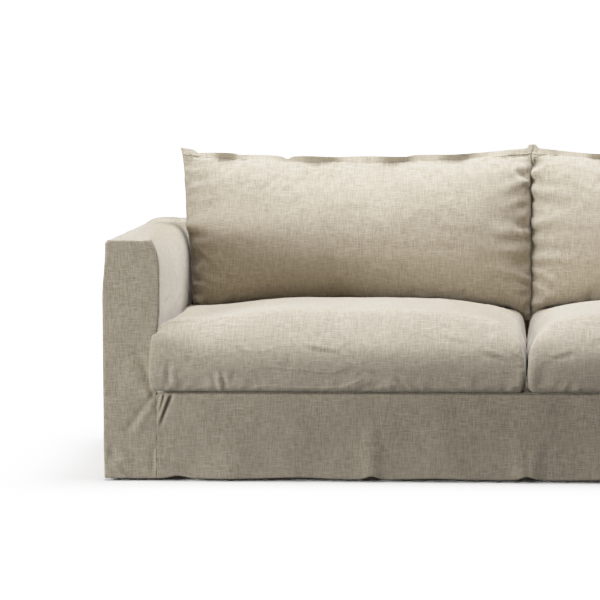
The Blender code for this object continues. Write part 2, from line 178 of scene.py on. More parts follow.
def creaseLift(creases, x, z):  # sharper ridges, each with a trough along its left side
    lift = np.zeros_like(x)
    for crease in creases:
        run = np.array([crease.x1 - crease.x0, crease.z1 - crease.z0])
        length = np.hypot(*run)
        share = ((x - crease.x0) * run[0] + (z - crease.z0) * run[1]) / length**2
        away = ((z - crease.z0) * run[0] - (x - crease.x0) * run[1]) / length
        away = (away - crease.bow * 4 * share * (1 - share)) / crease.width
        taper = soft(*ridge["creaseStart"], share) * soft(*ridge["creaseEnd"], 1 - share)
        high = crease.lift * np.exp(-(away**2))
        low = crease.trough * np.exp(-((away - ridge["troughAway"]) ** 2))
        lift += (high - low) * taper
    return lift


def crumple(points, layers, side):  # thin soft creases that wander over the cloth in patches
    lift = np.zeros(len(points))
    for size, width, high, seed, patchSeed in layers:
        places = points / np.array(size)
        line = unevenness(places, 1.0, seed + side) / width
        patches = unevenness(places * ridge["crumplePatchSize"], 1.0, patchSeed + side)
        trough = ridge["crumpleTrough"] * np.exp(-((line - ridge["troughAway"]) ** 2))
        lift += high * soft(*ridge["crumplePatch"], patches) * (np.exp(-(line**2)) - trough)
    return lift


def gatherLift(along, away, gathers, side=0):  # short folds that start at a seam and die out
    random = np.random.default_rng(gathers.seed + side)
    lift = np.zeros_like(along)
    away = np.clip(away, 0, 1)
    at = gathers.start + random.uniform(0, gathers.gap[1])
    while at < gathers.end:
        length = random.uniform(*gathers.length)
        width = random.uniform(*gathers.width)
        lean = random.normal(0, gathers.lean)
        high = gathers.lift * random.uniform(ridge["leastGather"], 1.0)
        near = (along - at - lean * away) / (width * (1 + ridge["gatherSpread"] * away / length))
        fade = np.exp(-((away / length) ** ridge["gatherFade"]))
        trough = ridge["gatherTrough"] * np.exp(-((near - ridge["gatherTroughAway"]) ** 2))
        lift += high * fade * (np.exp(-(near**2)) - trough)
        at += random.uniform(*gathers.gap)
    return lift


def outlineDistance(x, z, outline):  # distance to a line of points
    starts = outline[:-1]
    runs = outline[1:] - starts
    span = np.maximum((runs**2).sum(1), 1e-12)
    gapX = x[:, None] - starts[:, 0]
    gapZ = z[:, None] - starts[:, 1]
    share = np.clip((gapX * runs[:, 0] + gapZ * runs[:, 1]) / span, 0, 1)
    return np.hypot(gapX - share * runs[:, 0], gapZ - share * runs[:, 1]).min(1)


# finishes

class Wire:  # a socket that can stand in a formula: each sum or product adds its Math node
    def __init__(self, finish, socket):
        self.finish = finish
        self.socket = socket

    def math(self, operation, *values):
        return self.finish.node("Math", {"operation": operation}, dict(enumerate(values)))

    def sine(self):
        return self.math("SINE", self)

    def absolute(self):
        return self.math("ABSOLUTE", self)

    def atLeast(self, limit):
        return self.math("MAXIMUM", self, limit)

    def __add__(self, other):
        return self.math("ADD", self, other)

    def __radd__(self, other):
        return self.math("ADD", other, self)

    def __sub__(self, other):
        return self.math("SUBTRACT", self, other)

    def __rsub__(self, other):
        return self.math("SUBTRACT", other, self)

    def __mul__(self, other):
        return self.math("MULTIPLY", self, other)

    def __rmul__(self, other):
        return self.math("MULTIPLY", other, self)

    def __pow__(self, other):
        return self.math("POWER", self, other)

    def __rpow__(self, other):
        return self.math("POWER", other, self)


class Finish:  # one material and its nodes
    def __init__(self, name):
        self.material = bpy.data.materials.new(name)
        self.material.use_nodes = True
        self.tree = self.material.node_tree
        self.shader = self.tree.nodes["Principled BSDF"]

    def node(self, kind, settings=None, sockets=None, output=0):
        made = self.tree.nodes.new("ShaderNode" + kind)
        for name, value in (settings or {}).items():
            setattr(made, name, value)
        for name, value in (sockets or {}).items():
            self.feed(made.inputs[name], value)
        return Wire(self, made.outputs[output])

    def feed(self, socket, value):
        if isinstance(value, Wire):
            self.tree.links.new(value.socket, socket)
        else:
            socket.default_value = value

    def shade(self, values):  # links and fixed values for the shader's own sockets
        for name, value in values.items():
            self.feed(self.shader.inputs[name], value)

    def split(self, vector):  # its first two parts
        first = self.node("SeparateXYZ", None, {0: vector})
        return first, Wire(self, first.socket.node.outputs[1])

    def clouds(self, place, scale, detail, more=None):
        sockets = {"Vector": place, "Scale": scale, "Detail": detail, **(more or {})}
        return self.node("TexNoise", None, sockets)

    def yarns(self, along, across, yarn, seed):  # streaks, 0 to 1
        sockets = {0: along * (1 / yarn.length), 1: across * (1 / yarn.width), 2: seed + yarn.shift}
        place = self.node("CombineXYZ", None, sockets)
        return self.clouds(place, 1.0, yarn.detail, {"Roughness": linen["yarnGrain"]})

    def sharpen(self, value, low, high):  # spreads low..high over 0..1
        sockets = {"Value": value, "From Min": low, "From Max": high}
        return self.node("MapRange", {"interpolation_type": "SMOOTHSTEP"}, sockets)

    def mix(self, share, first, second):
        sockets = {0: share, 6: (*first, 1.0) if isinstance(first, tuple) else first}
        sockets[7] = (*second, 1.0) if isinstance(second, tuple) else second
        return self.node("Mix", {"data_type": "RGBA"}, sockets, output=2)


Yarn = namedtuple("Yarn", "length width shift detail")
linen = {
    "weft": Yarn(0.026, 0.0024, 0.0, 2.0),  # the lighter and darker stretches of the yarns
    "warp": Yarn(0.024, 0.0024, 5.3, 2.0),
    "thickWeft": Yarn(0.040, 0.0034, 11.7, 0.0),
    "thickWarp": Yarn(0.034, 0.0034, 17.9, 0.0),
    "yarnGrain": 0.55,
    "rare": (0.62, 0.76),  # the part of the noise that becomes thick yarns and knots
    "even": (0.36, 0.64),  # and the part that runs from the dark tone to the light one
    "wornPart": (0.3, 0.7),
    "knotScale": 150.0,
    "wornScale": 7.0,
    "crepeScale": 38.0,
    "crepeTwist": 0.6,
    "knot": (0.225, 0.190, 0.132),
    "worn": (0.436, 0.382, 0.294),
    "rough": 0.94,
    "lightRough": 0.08,  # by which the light yarns are smoother
    "ribPitch": 0.0013,
    "yarnHeight": 0.35,
    "thickHeight": 0.25,
    "ribHeight": 0.12,
    "crepeHeight": 1.1,
    "bump": 0.5,
    "bumpDepth": 0.0011,
    "specular": 0.25,
    "sheen": 0.40,
    "sheenRough": 0.5,
    "sheenTint": (0.96, 0.98, 1.0, 1.0),
}
coverShade = {
    "dark": (0.306, 0.259, 0.190),
    "light": (0.506, 0.446, 0.346),
    "yarn": (0.565, 0.510, 0.412),
    "slub": 0.50,  # how strongly the thick yarns and knots show
    "cloud": 0.34,  # and the worn patches
    "seed": 1.0,
}
cushionShade = {
    "dark": (0.330, 0.282, 0.211),
    "light": (0.488, 0.431, 0.341),
    "yarn": (0.565, 0.512, 0.418),
    "slub": 0.42,
    "cloud": 0.25,
    "seed": 40.0,
}


def linenFinish(name, shade):
    finish = Finish(name)
    seed = shade["seed"]
    uv = finish.node("UVMap", {"uv_map": "weave"})
    u, v = finish.split(uv)
    weft = finish.yarns(u, v, linen["weft"], seed)
    warp = finish.yarns(v, u, linen["warp"], seed)
    thickWeft = finish.sharpen(finish.yarns(u, v, linen["thickWeft"], seed), *linen["rare"])
    thickWarp = finish.sharpen(finish.yarns(v, u, linen["thickWarp"], seed), *linen["rare"])
    knots = finish.sharpen(finish.clouds(uv, linen["knotScale"], 1.0), *linen["rare"])
    worn = finish.sharpen(finish.clouds(uv, linen["wornScale"], 3.0), *linen["wornPart"])
    creped = finish.clouds(uv, linen["crepeScale"], 3.0, {"Distortion": linen["crepeTwist"]})
    light = finish.sharpen(weft * 0.5 + warp * 0.5, *linen["even"])
    colour = finish.mix(light, shade["dark"], shade["light"])
    colour = finish.mix((thickWeft + thickWarp) * shade["slub"], colour, shade["yarn"])
    colour = finish.mix(knots * shade["slub"], colour, linen["knot"])
    colour = finish.mix(worn * shade["cloud"], colour, linen["worn"])
    turns = 2 * math.pi / linen["ribPitch"]
    ribs = (u * turns).sine() * (v * turns).sine()
    height = weft * linen["yarnHeight"] + warp * linen["yarnHeight"]
    height = height + (thickWeft + thickWarp) * linen["thickHeight"]
    height = height + ribs * linen["ribHeight"] + creped * linen["crepeHeight"]
    sockets = {"Strength": linen["bump"], "Distance": linen["bumpDepth"], "Height": height}
    finish.shade({
        "Base Color": colour,
        "Roughness": linen["rough"] - light * linen["lightRough"],
        "Normal": finish.node("Bump", None, sockets),
        "Specular IOR Level": linen["specular"],
        "Sheen Weight": linen["sheen"],
        "Sheen Roughness": linen["sheenRough"],
        "Sheen Tint": linen["sheenTint"],
    })
    return finish.material


coverLinen = linenFinish("coverLinen", coverShade)
cushionLinen = linenFinish("cushionLinen", cushionShade)
print("finishes are ready")


# pieces

def addObject(name, data):
    added = bpy.data.objects.new(name, data)
    bpy.context.scene.collection.objects.link(added)
    bpy.context.view_layer.update()
    return added


def readPoints(data):
    flat = np.empty(len(data.vertices) * 3)
    data.vertices.foreach_get("co", flat)
    return flat.reshape(-1, 3)


def readNormals(data):
    flat = np.empty(len(data.vertices) * 3)
    data.vertex_normals.foreach_get("vector", flat)
    return flat.reshape(-1, 3)


def writePoints(data, points):
    data.vertices.foreach_set("co", np.asarray(points, np.float32).ravel())
    data.update()


def setWeave(data, uv):  # the cloth's own measures, so that the yarns follow the folds
    corner = np.empty(len(data.loops), int)
    data.loops.foreach_get("vertex_index", corner)
    layer = data.uv_layers.new(name="weave")
    layer.uv.foreach_set("vector", uv[corner].astype(np.float32).ravel())


def dress(piece, node, finish):  # hands a finished piece to the frame
    piece.data.materials.clear()
    piece.data.materials.append(finish)
    piece.data.shade_smooth()
    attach(piece, "root")
    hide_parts(node)


def clothSheet(node, us, vs, place, outward, leftOut=None):
    shape = bmesh.new()
    bmesh.ops.create_grid(shape, x_segments=len(us) - 1, y_segments=len(vs) - 1, size=0.5)
    data = bpy.data.meshes.new(node + "_linen")
    shape.to_mesh(data)
    start = readPoints(data)[:, :2] + 0.5
    u = us[np.rint(start[:, 0] * (len(us) - 1)).astype(int)]
    v = vs[np.rint(start[:, 1] * (len(vs) - 1)).astype(int)]
    setWeave(data, np.stack([u, v], 1))
    writePoints(data, place(u, v))
    shape.free()
    if leftOut is not None:
        shape = bmesh.new()
        shape.from_mesh(data)
        shape.verts.ensure_lookup_table()
        spare = [shape.verts[i] for i in np.nonzero(leftOut(u, v))[0]]
        bmesh.ops.delete(shape, geom=spare, context="VERTS")
        shape.to_mesh(data)
        shape.free()
    if (readNormals(data) @ np.array(outward, float)).sum() < 0:
        data.flip_normals()
    piece = addObject(data.name, data)
    body = piece.modifiers.new("cloth", "SOLIDIFY")
    body.thickness = cloth["thickness"]
    body.offset = -1
    dress(piece, node, coverLinen)
    print(node, "is sewn:", len(data.polygons), "faces")


# the arms' section, which the fronts, sides and tops share

arm = {
    "inside": 0.978,
    "apronSeam": 0.9895,
    "insetZ": (0.34, 0.46),  # the arm draws in from the apron's seam to its inside here
    "outerRound": 0.018,
    "outerLean": 0.009,
    "leanFromZ": 0.48,
    "outerTuck": 0.002,
    "tuckHeight": 0.12,
    "outerSeamDrop": 0.004,  # the outer seam lies this far under the round
    "innerRoundOut": (0.029, 0.062),  # at the front panel and at the back
    "innerRoundDrop": (0.082, 0.128),
    "innerRoundPower": (1.0, 0.82),  # below 1 squares the round's shoulder
    "innerRoundReach": 0.45,
    "backRound": 0.025,
    "stepReach": 0.008,  # half the length of the step from the arm's top to the back's
    "stepAway": (0.004, 0.050),
    "panelEndZ": sofa["deckTop"] - 0.006,
    "topMiddle": 0.080,  # way along the section to the middle of the arm's top
}


def outerFace(z):
    lean = arm["outerLean"] * soft(arm["leanFromZ"], sofa["armTop"] - arm["outerRound"], z)
    tuck = arm["outerTuck"] * (1 - soft(0.0, arm["tuckHeight"], z))
    return sofa["halfWidth"] - lean - tuck


def innerFace(z):
    return blend(arm["apronSeam"], arm["inside"], soft(*arm["insetZ"], z))


def outerEdge(z):  # the arm front's outline towards the outside, with its round upper corner
    radius = arm["outerRound"]
    drop = np.clip((z - (sofa["armTop"] - radius)) / radius, 0, 1)
    side = np.where(drop > 0, outerFace(sofa["armTop"]), outerFace(z))
    return side - radius + radius * np.sqrt(1 - drop**2)


def innerEdge(z):  # the arm front's outline towards the seat, with its long soft corner
    radius = arm["innerRoundDrop"][0]
    drop = np.clip((z - (sofa["armTop"] - radius)) / radius, 0, 1)
    return innerFace(z) + arm["innerRoundOut"][0] * (1 - np.sqrt(1 - drop**2))


def cornerRise(y, away):  # the back is a little higher than the arm, but not along the outer seam
    reach = arm["stepReach"]
    rise = (sofa["backTop"] - sofa["armTop"]) * soft(-reach, reach, y - sofa["backFaceY"])
    return rise * soft(*arm["stepAway"], away)


def backEdgeZ(y):  # height of the back's rounded upper front edge
    reach = np.clip((y - sofa["backFaceY"]) / arm["backRound"], 0, 1)
    rise = arm["backRound"] * (np.sqrt(1 - (1 - reach) ** 2) - 1)
    return np.where(y < sofa["backFaceY"], 0.0, sofa["backTop"] + rise)


hem = {
    "rises": [
        Rise(0.932, 0.026, 0.007),
        Rise(0.620, 0.090, 0.004),
        Rise(0.414, 0.020, 0.009),
        Rise(0.240, 0.070, 0.003),
        Rise(0.000, 0.022, 0.009),
    ],
    "limit": 0.009,
    "height": 0.1,  # how far up a panel the hem's rise is felt
}


def hemLift(out):
    lift = sum(rise.height * np.exp(-(((out - rise.out) / rise.width) ** 2)) for rise in hem["rises"])
    return np.minimum(lift, hem["limit"])


def nearHem(z):
    return 1 - soft(0.0, hem["height"], z)


armFront = {
    "flat": (0.165, 0.665),
    "folds": [
        Fold(0.9986, 0.220, 1.066, 0.130, 0.010, -0.0062),
        Fold(1.000, 0.215, 1.063, 0.284, 0.012, 0.0048),
        Fold(1.004, 0.262, 1.040, 0.330, 0.012, -0.0045),
        Fold(1.010, 0.196, 1.045, 0.128, 0.015, 0.0040),
        Fold(1.112, 0.064, 1.084, 0.026, 0.014, -0.0040),
        Fold(1.052, 0.038, 1.020, 0.014, 0.013, -0.0032),
        Fold(1.100, 0.034, 1.074, 0.004, 0.010, 0.0055),
        Fold(0.996, 0.070, 0.998, 0.010, 0.008, -0.0030),
    ],
    "puckers": Gathers(0.01, 0.23, (0.018, 0.034), (0.006, 0.016), (0.004, 0.007), 0.3, 0.0012, 3),
    "rumple": [(0.0012, 0.085, 2), (0.0005, 0.03, 4)],
    "calm": (0.012, 0.02),  # how far from its inner and outer edge the cloth lies still
    "hemCalm": 0.04,
    "seamRound": 0.0009,  # round of the inner edge where it meets the apron
    "seamRoundEnd": (0.232, 0.30),
    "cell": 0.0045,
    "rows": [(0.0, 0.0045), (0.30, 0.0065), (0.52, 0.004)],
}


def makeArmFront(side, label):
    top = sofa["armTop"] - cloth["topGap"]
    nominal = sofa["halfWidth"] - arm["apronSeam"]
    corner = cloth["cornerRound"]
    edge = rings(corner)
    middle = lines((edge[-1], armFront["cell"]), (nominal - edge[-1], 0))
    across = np.concatenate([edge[:-1], middle, (nominal - edge[:-1])[::-1]])
    low = lines(*armFront["rows"], (top - edge[-1], 0))
    up = np.concatenate([low, (top - edge[:-1])[::-1]])
    heights = np.linspace(0, top, cloth["outlinePoints"])
    inside = np.stack([innerEdge(heights) + cloth["edgeGap"], heights], 1)
    outside = np.stack([outerEdge(heights) - cloth["edgeGap"], heights], 1)
    outside = np.concatenate([[inside[-1]], outside[::-1]])

    def place(u, v):
        share = u / nominal
        inner = innerEdge(v) + cloth["edgeGap"]
        outer = outerEdge(v) - cloth["edgeGap"]
        out = blend(inner, outer, share)
        toInner = outlineDistance(out, v, inside)
        toOuter = outlineDistance(out, v, outside)
        radius = blend(armFront["seamRound"], corner, soft(*armFront["seamRoundEnd"], v))
        depth = np.maximum(rollDepth(toInner, radius), rollDepth(toOuter, corner))
        calm = soft(0, armFront["calm"][0], toInner) * soft(0, armFront["calm"][1], toOuter)
        lift = foldLift(armFront["folds"], out, v) * calm
        lift += gatherLift(v, toInner, armFront["puckers"], side)
        points = np.stack([side * out, v * 0, v], 1)
        lift += rumpled(points, armFront["rumple"]) * calm
        hemCalm = soft(0, armFront["hemCalm"], np.minimum(out - inner, outer - out))
        rise = hemLift(out) * nearHem(v) * hemCalm
        return np.stack([side * out, sofa["frontY"] + depth - lift, v + rise], 1)

    clothSheet(f"arm_front_{label}", across, up, place, (0, -1, 0))


def sideColumns(cell, step):  # grid lines from front to rear, closer at the corners and at the back
    band = cloth["edgeBand"]
    middle = [(sofa["backFaceY"] + away, gap) for away, gap in step]
    start = [(panelFrontY, cloth["edgeCell"]), (panelFrontY + band, cell)]
    return lines(*start, *middle, (panelRearY - band, cloth["edgeCell"]), (panelRearY, 0))


armSide = {
    "flat": (0.97, 0.66),
    "sag": 0.005,
    "sagWave": (7.5, 0.8),
    "sagPower": 1.5,
    "hemRise": 0.006,
    "hemWave": (9.0, 0.6),
    "rumple": [(0.0025, 0.16, 6), (0.0006, 0.035, 8)],
    "calm": (0.004, 0.05),
    "topCalm": 0.10,
    "liftLimits": (-0.009, 0.003),
    "cell": 0.009,
    "step": [(-0.010, 0.004), (0.030, 0.009)],
    "rows": [(0.0, 0.008)],
    "topRows": (0.012, 0.002),  # height of the closer grid lines under the seam, and their spacing
    "folds": [
        Fold(-0.30, 0.020, -0.27, 0.210, 0.030, 0.0040),
        Fold(-0.06, 0.015, -0.09, 0.260, 0.040, -0.0040),
        Fold(0.18, 0.010, 0.20, 0.180, 0.030, 0.0035),
        Fold(0.38, 0.020, 0.33, 0.300, 0.030, -0.0035),
        Fold(-0.40, 0.560, -0.30, 0.380, 0.025, -0.0020),
    ],
}


def makeArmSide(side, label):
    depths = sideColumns(armSide["cell"], armSide["step"])
    seamZ = sofa["armTop"] - arm["outerRound"] - arm["outerSeamDrop"] - cloth["seamGap"]
    band, gap = armSide["topRows"]
    heights = lines(*armSide["rows"], (seamZ - band, gap), (seamZ, 0))
    hemTurn, hemStart = armSide["hemWave"]
    sagTurn, sagStart = armSide["sagWave"]

    def place(u, v):
        share = v / seamZ
        inside = np.minimum(u - panelFrontY, panelRearY - u)
        calm = soft(*armSide["calm"], inside)
        level = v + armSide["hemRise"] * np.sin(hemTurn * u + hemStart) ** 2 * calm * (1 - share)
        lift = foldLift(armSide["folds"], u, v)
        lift += armSide["sag"] * np.sin(sagTurn * u + sagStart) * (1 - share) ** armSide["sagPower"]
        points = np.stack([v * 0 + side, u, v], 1)
        lift += rumpled(points, armSide["rumple"])
        lift = np.clip(lift * calm * soft(0, armSide["topCalm"], seamZ - v), *armSide["liftLimits"])
        out = outerFace(v) + lift - seamDip(inside) - seamDip(seamZ - v) * cloth["topSeamDip"]
        return np.stack([side * out, u, level], 1)

    clothSheet(f"arm_outer_{label}", depths, heights, place, (side, 0, 0))


armTop = {
    "flat": (0.97, 0.62),
    "creases": [  # from front to back, and along the section from the outer seam
        Crease(-0.36, 0.300, -0.18, 0.262, 0.010, 0.0012, 0.0010, 0.010),
        Crease(-0.10, 0.330, 0.06, 0.275, 0.012, 0.0014, 0.0010, -0.012),
        Crease(0.16, 0.250, 0.30, 0.310, 0.011, 0.0014, 0.0012, 0.010),
    ],
    "puckers": Gathers(0.14, 0.60, (0.020, 0.040), (0.008, 0.020), (0.005, 0.008), 0.3, 0.0010, 20),
    "rumple": [(0.0018, 0.13, 10), (0.0006, 0.032, 12)],
    "crown": 0.003,
    "crownEdge": (0.03, 0.08),
    "crownEnd": 0.20,
    "insideSink": 0.0012,
    "insideSinkReach": (0.1, 0.12),  # down from the top and forward from the back
    "calm": (0.04, 0.03),  # from the corners and from the outer seam
    "stepCalm": (-0.02, 0.03),
    "backSeam": (-0.01, 0.02),
    "backSeamAbove": 0.05,
    "insideEnd": 0.0075,  # the panel's inside runs on this far behind the back's face
    "cell": 0.008,
    "step": [(-0.012, 0.0025), (0.0075, 0.0025), (0.030, 0.008)],
    "rows": [(0.0, 0.002), (0.010, 0.004)],
    "insideCell": 0.006,
    "roundPoints": 16,
    "downPoints": 60,
}


def armSection(place):  # points from the outer seam over the top and down the inside, 0 front, 1 back
    radius = arm["outerRound"]
    side = outerFace(sofa["armTop"])
    cornerZ = sofa["armTop"] - radius
    turn = np.linspace(0, math.pi / 2, armTop["roundPoints"])
    rounds = np.stack([side - radius + radius * np.cos(turn), cornerZ + radius * np.sin(turn)], 1)
    turn = turn[::-1]
    power = arm["innerRoundPower"][place]
    inner = np.stack([
        arm["inside"] + arm["innerRoundOut"][place] * (1 - np.abs(np.cos(turn)) ** power),
        sofa["armTop"] - arm["innerRoundDrop"][place] * (1 - np.sin(turn) ** power),
    ], 1)
    downZ = np.linspace(inner[-1, 1], arm["panelEndZ"], armTop["downPoints"])[1:]
    down = np.stack([innerFace(downZ), downZ], 1)
    start = np.array([[side, cornerZ - arm["outerSeamDrop"]]])
    path = np.concatenate([start, rounds, inner, down])
    above = len(start) + len(rounds) + len(inner) - 1
    length = alongPath(path)
    return path, length, length[above]


def makeArmTop(side, label):
    path, length, aboveLength = armSection(0)
    backPath = armSection(1)[0]
    tangent = np.gradient(path, axis=0) + np.gradient(backPath, axis=0)
    tangent /= np.hypot(*tangent.T)[:, None]
    outwards = np.stack([-tangent[:, 1], tangent[:, 0]], 1)
    outwards *= np.sign(outwards[0, 0])
    face = sofa["backFaceY"]
    depths = sideColumns(armTop["cell"], armTop["step"])
    around = lines(*armTop["rows"], (aboveLength, armTop["insideCell"]), (length[-1], 0))
    sinkDown, sinkForward = armTop["insideSinkReach"]

    def place(u, v):
        share = soft(0.0, arm["innerRoundReach"], u - panelFrontY)
        out = blend(np.interp(v, length, path[:, 0]), np.interp(v, length, backPath[:, 0]), share)
        z = blend(np.interp(v, length, path[:, 1]), np.interp(v, length, backPath[:, 1]), share)
        turnOut = np.interp(v, length, outwards[:, 0])
        turnZ = np.interp(v, length, outwards[:, 1])
        inside = np.minimum(u - panelFrontY, panelRearY - u)
        points = np.stack([side * out, u, z], 1)
        lift = rumpled(points, armTop["rumple"])
        lift += creaseLift(armTop["creases"], u, v)
        edge = armTop["crownEdge"]
        lift += armTop["crown"] * soft(*edge, v) * soft(*edge, armTop["crownEnd"] - v)
        sink = soft(aboveLength, aboveLength + sinkDown, v) * soft(0.0, sinkForward, face - u)
        lift -= armTop["insideSink"] * sink
        lift *= soft(0.0, armTop["calm"][0], inside) * soft(0.0, armTop["calm"][1], v)
        lift *= soft(*armTop["stepCalm"], np.abs(u - face))
        lift += gatherLift(v, u - panelFrontY, armTop["puckers"], side)
        lift -= seamDip(inside) + seamDip(v) * cloth["topSeamDip"]
        above = soft(armTop["backSeamAbove"], 0.0, aboveLength - v)
        atBack = soft(*armTop["backSeam"], u - face) * above
        lift *= 1 - atBack  # the seam to the back's own panel stays closed
        out = out + turnOut * lift
        z = z + turnZ * lift
        lifted = z + cornerRise(u, v)
        backTop = np.maximum(lifted, backEdgeZ(u) - seamDip(inside))
        lifted = np.where(v > arm["topMiddle"], backTop, lifted)
        z = np.where(v <= aboveLength + hair, lifted, z)
        return np.stack([side * out, u, z], 1)

    def leftOut(u, v):
        return (v > aboveLength + hair) & (u > face + armTop["insideEnd"] + hair)

    clothSheet(f"arm_inner_{label}", depths, around, place, (-0.5 * side, 0, 1),
               leftOut)


apron = {
    "flat": (2.00, 0.25),
    "topRoll": 0.012,  # it turns in under the seat cushions
    "lap": 0.0012,  # its ends are tucked under the arm fronts
    "folds": [
        Fold(0.800, 0.000, 0.770, 0.120, 0.045, 0.0045),
        Fold(0.560, 0.010, 0.540, 0.150, 0.055, -0.0040),
        Fold(0.414, 0.000, 0.420, 0.110, 0.026, 0.0070),
        Fold(0.200, 0.010, 0.230, 0.160, 0.055, 0.0040),
        Fold(0.010, 0.000, 0.020, 0.080, 0.022, 0.0060),
    ],
    "pleats": [  # in metres from the middle plane, drawn from the seat down to the arm's seam
        Crease(0.9440, 0.2300, 0.9815, 0.1320, 0.0058, -0.0040, -0.0010, 0.003),
        Crease(0.9545, 0.2250, 0.9835, 0.1420, 0.0052, 0.0042, 0.0, 0.002),
        Crease(0.9725, 0.2310, 0.9838, 0.1800, 0.0040, 0.0030, 0.0014, 0.0),
        Crease(0.9660, 0.2310, 0.9800, 0.1750, 0.0034, -0.0022, 0.0, 0.0),
    ],
    "puckers": Gathers(0.01, 0.17, (0.016, 0.032), (0.007, 0.018), (0.004, 0.007), 0.3, 0.0014, 31),
    "rumple": [(0.0034, 0.12, 14), (0.0006, 0.03, 16)],
    "calm": 0.03,
    "pleatCalm": 0.004,
    "topCalm": 0.010,
    "endRoll": 0.003,
    "columns": [(0.0, 0.0008), (0.004, 0.0028), (0.075, 0.006)],  # from its ends
    "rows": [(0.0, 0.0045)],
    "topCell": 0.002,
}
deck = {
    "flat": (1.98, 0.83),
    "round": 0.003,
    "cell": 0.02,
    "edgeCell": 0.004,
    "edgeBand": 0.02,
}


def makeApron():
    limit = arm["apronSeam"] + apron["lap"]
    half = limit - lines(*apron["columns"], (limit, 0))
    across = np.concatenate([-half, half[::-1][1:]])
    across = np.unique(np.round(across, 7))
    top = sofa["deckTop"] - deck["round"] - cloth["seamGap"]
    up = lines(*apron["rows"], (top - apron["topRoll"], apron["topCell"]), (top, 0))

    def place(u, v):
        out = np.abs(u)
        away = limit - out
        points = np.stack([u, v * 0, v], 1)
        calm = soft(0.0, apron["calm"], away)
        lift = foldLift(apron["folds"], out, v) * calm
        lift += creaseLift(apron["pleats"], out, v) * soft(0.0, apron["pleatCalm"], away)
        lift += gatherLift(v, away, apron["puckers"])
        lift += rumpled(points, apron["rumple"]) * calm
        lift *= soft(0.0, apron["topCalm"], top - v)
        y = sofa["frontY"] - lift + rollDepth(away, apron["endRoll"])
        y = y + rollDepth(top - v, apron["topRoll"])
        rise = hemLift(out) * (1 - v / top) ** 2 * calm
        return np.stack([u, y, v + rise], 1)

    clothSheet("front_apron", across, up, place, (0, -1, 0))


def makeDeck():
    limit = arm["apronSeam"] - cloth["seamGap"]
    front = sofa["frontY"]
    rear = sofa["backFaceY"] - cloth["edgeGap"]
    across = lines((-limit, deck["cell"]), (limit, 0))
    depths = lines((front, deck["edgeCell"]), (front + deck["edgeBand"], deck["cell"]), (rear, 0))

    def place(u, v):
        return np.stack([u, v, sofa["deckTop"] - rollDepth(v - front, deck["round"])], 1)

    clothSheet("deck", across, depths, place, (0, 0, 1))


backInside = {
    "flat": (1.96, 0.57),
    "halfWidth": 0.98,  # at which the weave's measures are true
    "rumple": [(0.0012, 0.12, 18)],
    "sink": 0.0008,
    "calm": 0.05,
    "columns": [(-1.0, 0.004), (-0.97, 0.012), (0.97, 0.004), (1.0, 0)],  # shares of the half width
    "rows": [(0.0, 0.02), (0.30, 0.006)],
    "roundPoints": 14,
    "upPoints": 50,
}
backOutside = {
    "flat": (2.29, 0.67),
    "rumple": [(0.0030, 0.17, 22), (0.0006, 0.04, 24)],
    "noiseY": 3,  # a place in the noise that no other panel has
    "sink": 0.002,
    "calm": 0.05,
    "hemRise": 0.006,
    "hemWave": (5.1, 1.1),
    "cell": 0.008,  # a share of the half width
    "rows": [(0.0, 0.010), (0.60, 0.004)],
    "folds": [  # x from the left edge to the right edge, seen from the front
        Fold(-0.90, 0.010, -0.86, 0.300, 0.050, -0.0045),
        Fold(-0.55, 0.015, -0.60, 0.340, 0.060, -0.0040),
        Fold(-0.18, 0.010, -0.14, 0.260, 0.045, -0.0050),
        Fold(0.22, 0.010, 0.18, 0.330, 0.060, -0.0045),
        Fold(0.58, 0.015, 0.62, 0.260, 0.050, -0.0040),
        Fold(0.93, 0.010, 0.90, 0.280, 0.045, -0.0050),
        Fold(-0.98, 0.600, -0.80, 0.420, 0.030, -0.0025),
        Fold(0.98, 0.600, 0.82, 0.430, 0.030, -0.0025),
    ],
}


def makeBackInside():
    radius = arm["backRound"]
    face = sofa["backFaceY"]
    straightZ = sofa["backTop"] - radius
    turn = np.linspace(0, math.pi / 2, backInside["roundPoints"])
    upZ = np.linspace(arm["panelEndZ"], straightZ, backInside["upPoints"])[:-1]
    up = np.stack([upZ * 0 + face, upZ], 1)
    bend = np.stack([face + radius * (1 - np.cos(turn)), straightZ + radius * np.sin(turn)], 1)
    route = np.concatenate([up, bend, [[panelRearY, sofa["backTop"]]]])
    length = alongPath(route)
    half = backInside["halfWidth"]
    across = lines(*backInside["columns"]) * half
    end = length[-1]
    around = lines(*backInside["rows"], (end - cloth["edgeBand"], cloth["edgeCell"]), (end, 0))

    def place(u, v):
        y = np.interp(v, length, route[:, 0])
        z = np.interp(v, length, route[:, 1])
        limit = innerFace(z) - cloth["seamGap"]
        x = u / half * limit
        away = limit - np.abs(x)
        points = np.stack([x, y, z], 1)
        lift = rumpled(points, backInside["rumple"]) - backInside["sink"]
        lift *= soft(0.0, backInside["calm"], away)
        flatTop = soft(face, face + radius, y)
        rise = (lift - seamDip(end - v)) * flatTop
        return np.stack([x, y - lift * (1 - flatTop), z + rise], 1)

    clothSheet("back_inside", across, around, place, (0, -1, 1))


